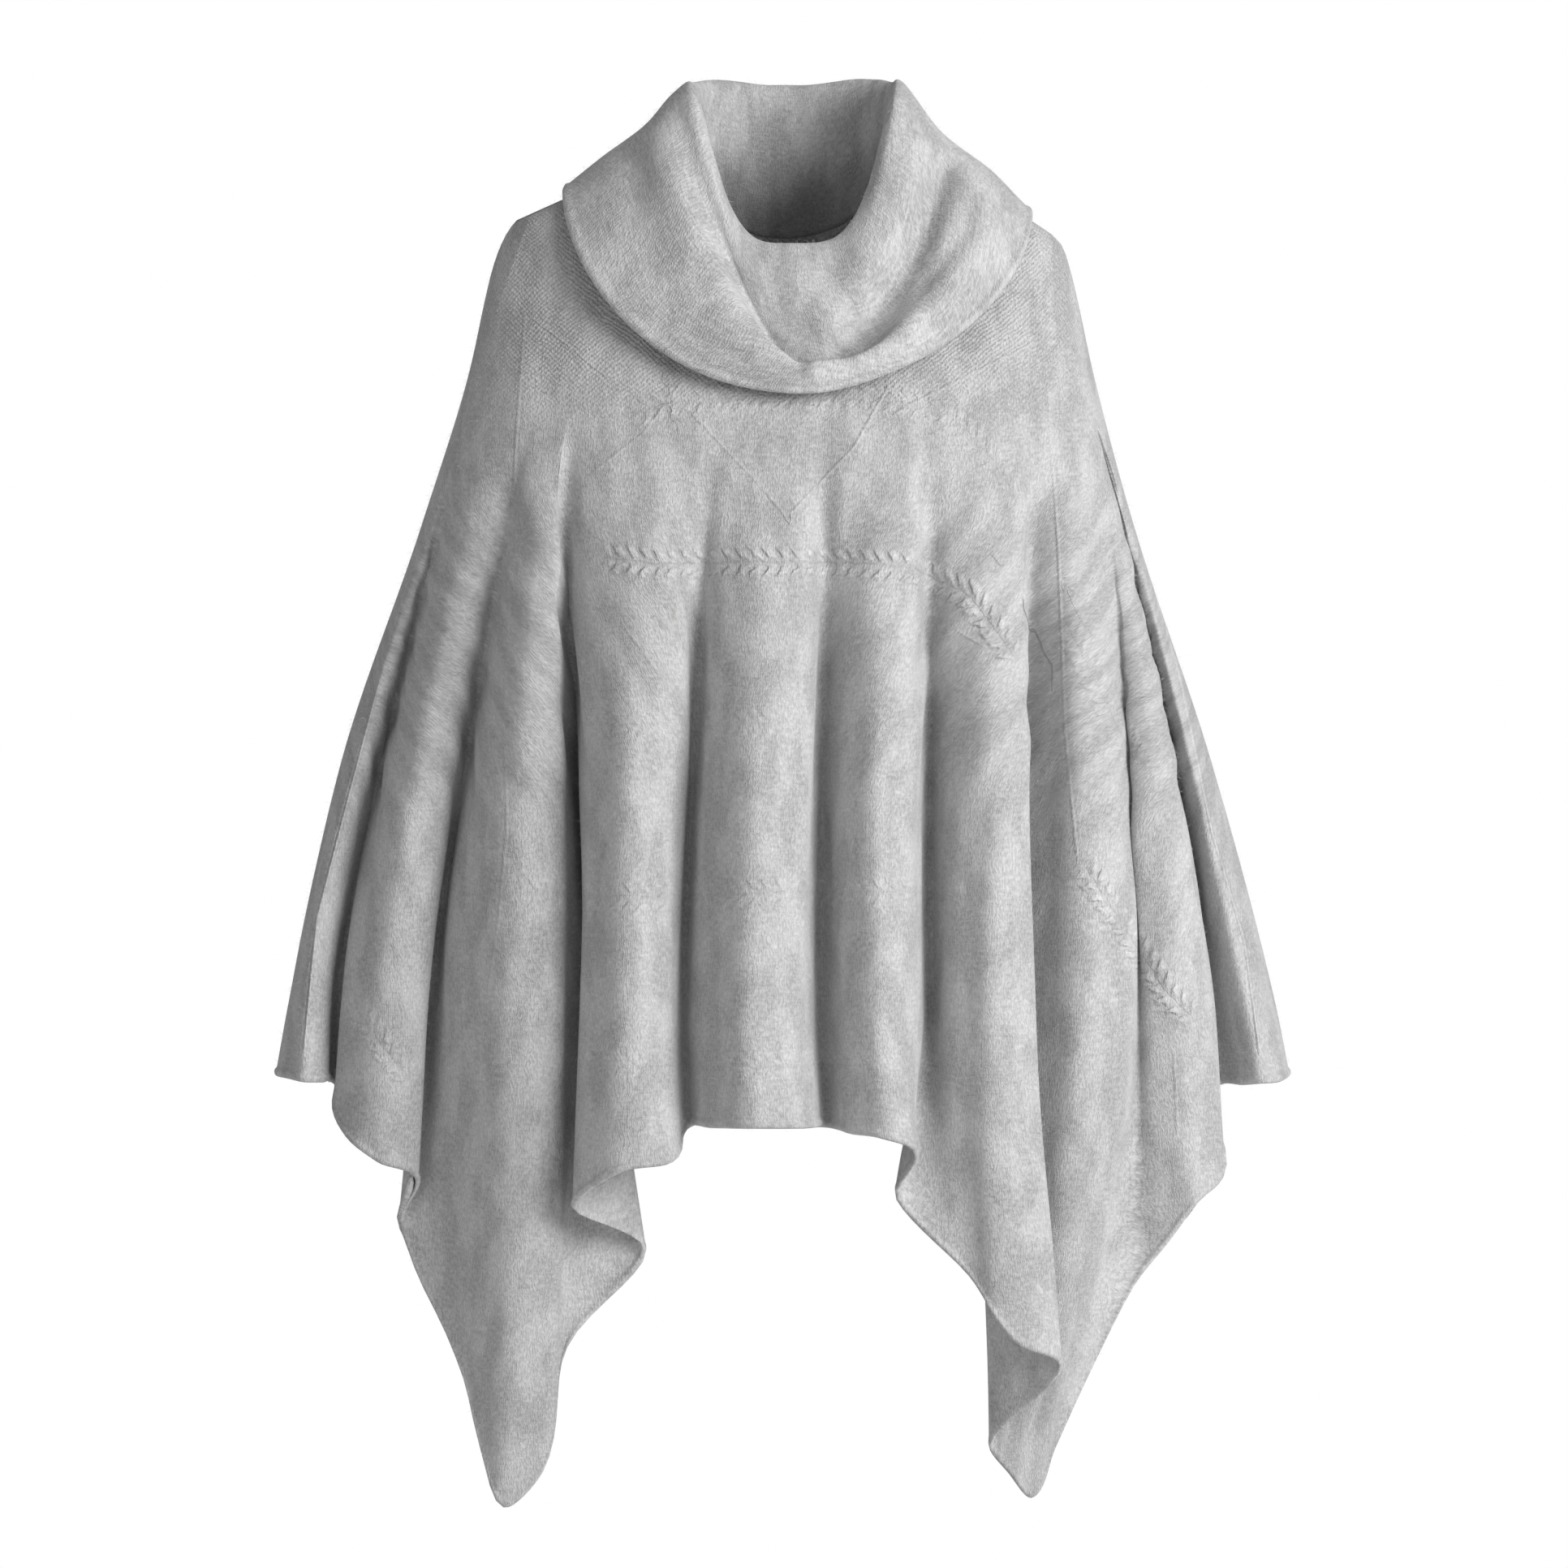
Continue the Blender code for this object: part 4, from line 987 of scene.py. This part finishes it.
front, frontNormals = frontCloth()
frontDepth = squeezed(front, frontNormals, garment["thinnest"], garment["wall"])[..., None]
frontInner = front - frontDepth * frontNormals
back, backInner, backNormals = backCloth(front, frontNormals)
frontPiece, frontArea = dressPanel(
    "frontKnit", "front", front, frontInner, frontNormals, -1.0, brushedKnit, True)
backPiece, backArea = dressPanel(
    "backKnit", "back", back, backInner, backNormals, 1.0, brushedKnit, False)
collarPiece, collarArea = dressCollar(front, back, plainKnit)
print("areas", round(frontArea, 3), round(backArea, 3), round(collarArea, 3))

frontFuzz = addFibres(frontPiece, fibreNodes, "frontFuzz", frontArea)
backFuzz = addFibres(backPiece, fibreNodes, "backFuzz", backArea)
collarFuzz = addFibres(collarPiece, fibreNodes, "collarFuzz", collarArea)


studio = {
    "cameraDistance": 5.0,
    "cameraHeight": -0.444,
    "lens": 160.6,
    "floorHeight": -1.45,
    "floorSize": 4.0,
    "floorColour": "#f2f2f2",
    "backdrop": "#ffffff",
    "ambient": 0.32,  # of the backdrop's light, all round
    "key": (46.0, 16.0, 2.0, 124.0),  # turn to the right, height above the horizon, size and power
    "fill": (-35.0, 5.0, 2.5, 14.0),
    "lightDistance": 3.2,
    "aim": (0.0, 0.0, -0.45),
}


def addLight(name, turn, height, size, power):
    turn, height = math.radians(turn), math.radians(height)
    way = Vector((math.sin(turn) * math.cos(height), -math.cos(turn) * math.cos(height), math.sin(height)))
    data = bpy.data.lights.new(name, "AREA")
    data.shape = "DISK"
    data.size = size
    data.energy = power
    lamp = bpy.data.objects.new(name, data)
    lamp.location = Vector(studio["aim"]) + studio["lightDistance"] * way
    lamp.rotation_euler = (-way).to_track_quat("-Z", "Y").to_euler()
    bpy.context.scene.collection.objects.link(lamp)


def addStudio():
    half, height = 0.5 * studio["floorSize"], studio["floorHeight"]
    mesh = bpy.data.meshes.new("floor")
    corners = [(x, y, height) for x, y in ((-half, -half), (half, -half), (half, half), (-half, half))]
    mesh.from_pydata(corners, [], [(0, 1, 2, 3)])
    floor = bpy.data.objects.new("floor", mesh)
    bpy.context.scene.collection.objects.link(floor)
    paint = bpy.data.materials.new("matt_white_paper")  # an uncoated roll of backdrop paper
    paint.use_nodes = True
    shader = paint.node_tree.nodes["Principled BSDF"]
    shader.inputs["Base Color"].default_value = linearColour(studio["floorColour"])
    shader.inputs["Roughness"].default_value = 0.9
    mesh.materials.append(paint)
    world = bpy.data.worlds.new("studio")
    world.use_nodes = True
    seen = addNode(world.node_tree, "ShaderNodeLightPath").outputs["Is Camera Ray"]
    strength = addNode(world.node_tree, "ShaderNodeMapRange", in0=seen, in3=studio["ambient"], in4=1.0)
    background = world.node_tree.nodes["Background"]
    background.inputs[0].default_value = linearColour(studio["backdrop"])
    world.node_tree.links.new(strength.outputs[0], background.inputs[1])
    bpy.context.scene.world = world
    addLight("key", *studio["key"])
    addLight("fill", *studio["fill"])
    camera = bpy.data.objects.new("camera", bpy.data.cameras.new("camera"))
    camera.location = (0.0, -studio["cameraDistance"], studio["cameraHeight"])
    camera.rotation_euler = (math.radians(90.0), 0.0, 0.0)
    camera.data.lens = studio["lens"]
    bpy.context.scene.collection.objects.link(camera)
    bpy.context.scene.camera = camera


addStudio()
bpy.context.scene.view_settings.view_transform = "Standard"
print("dressed, with the studio round it")
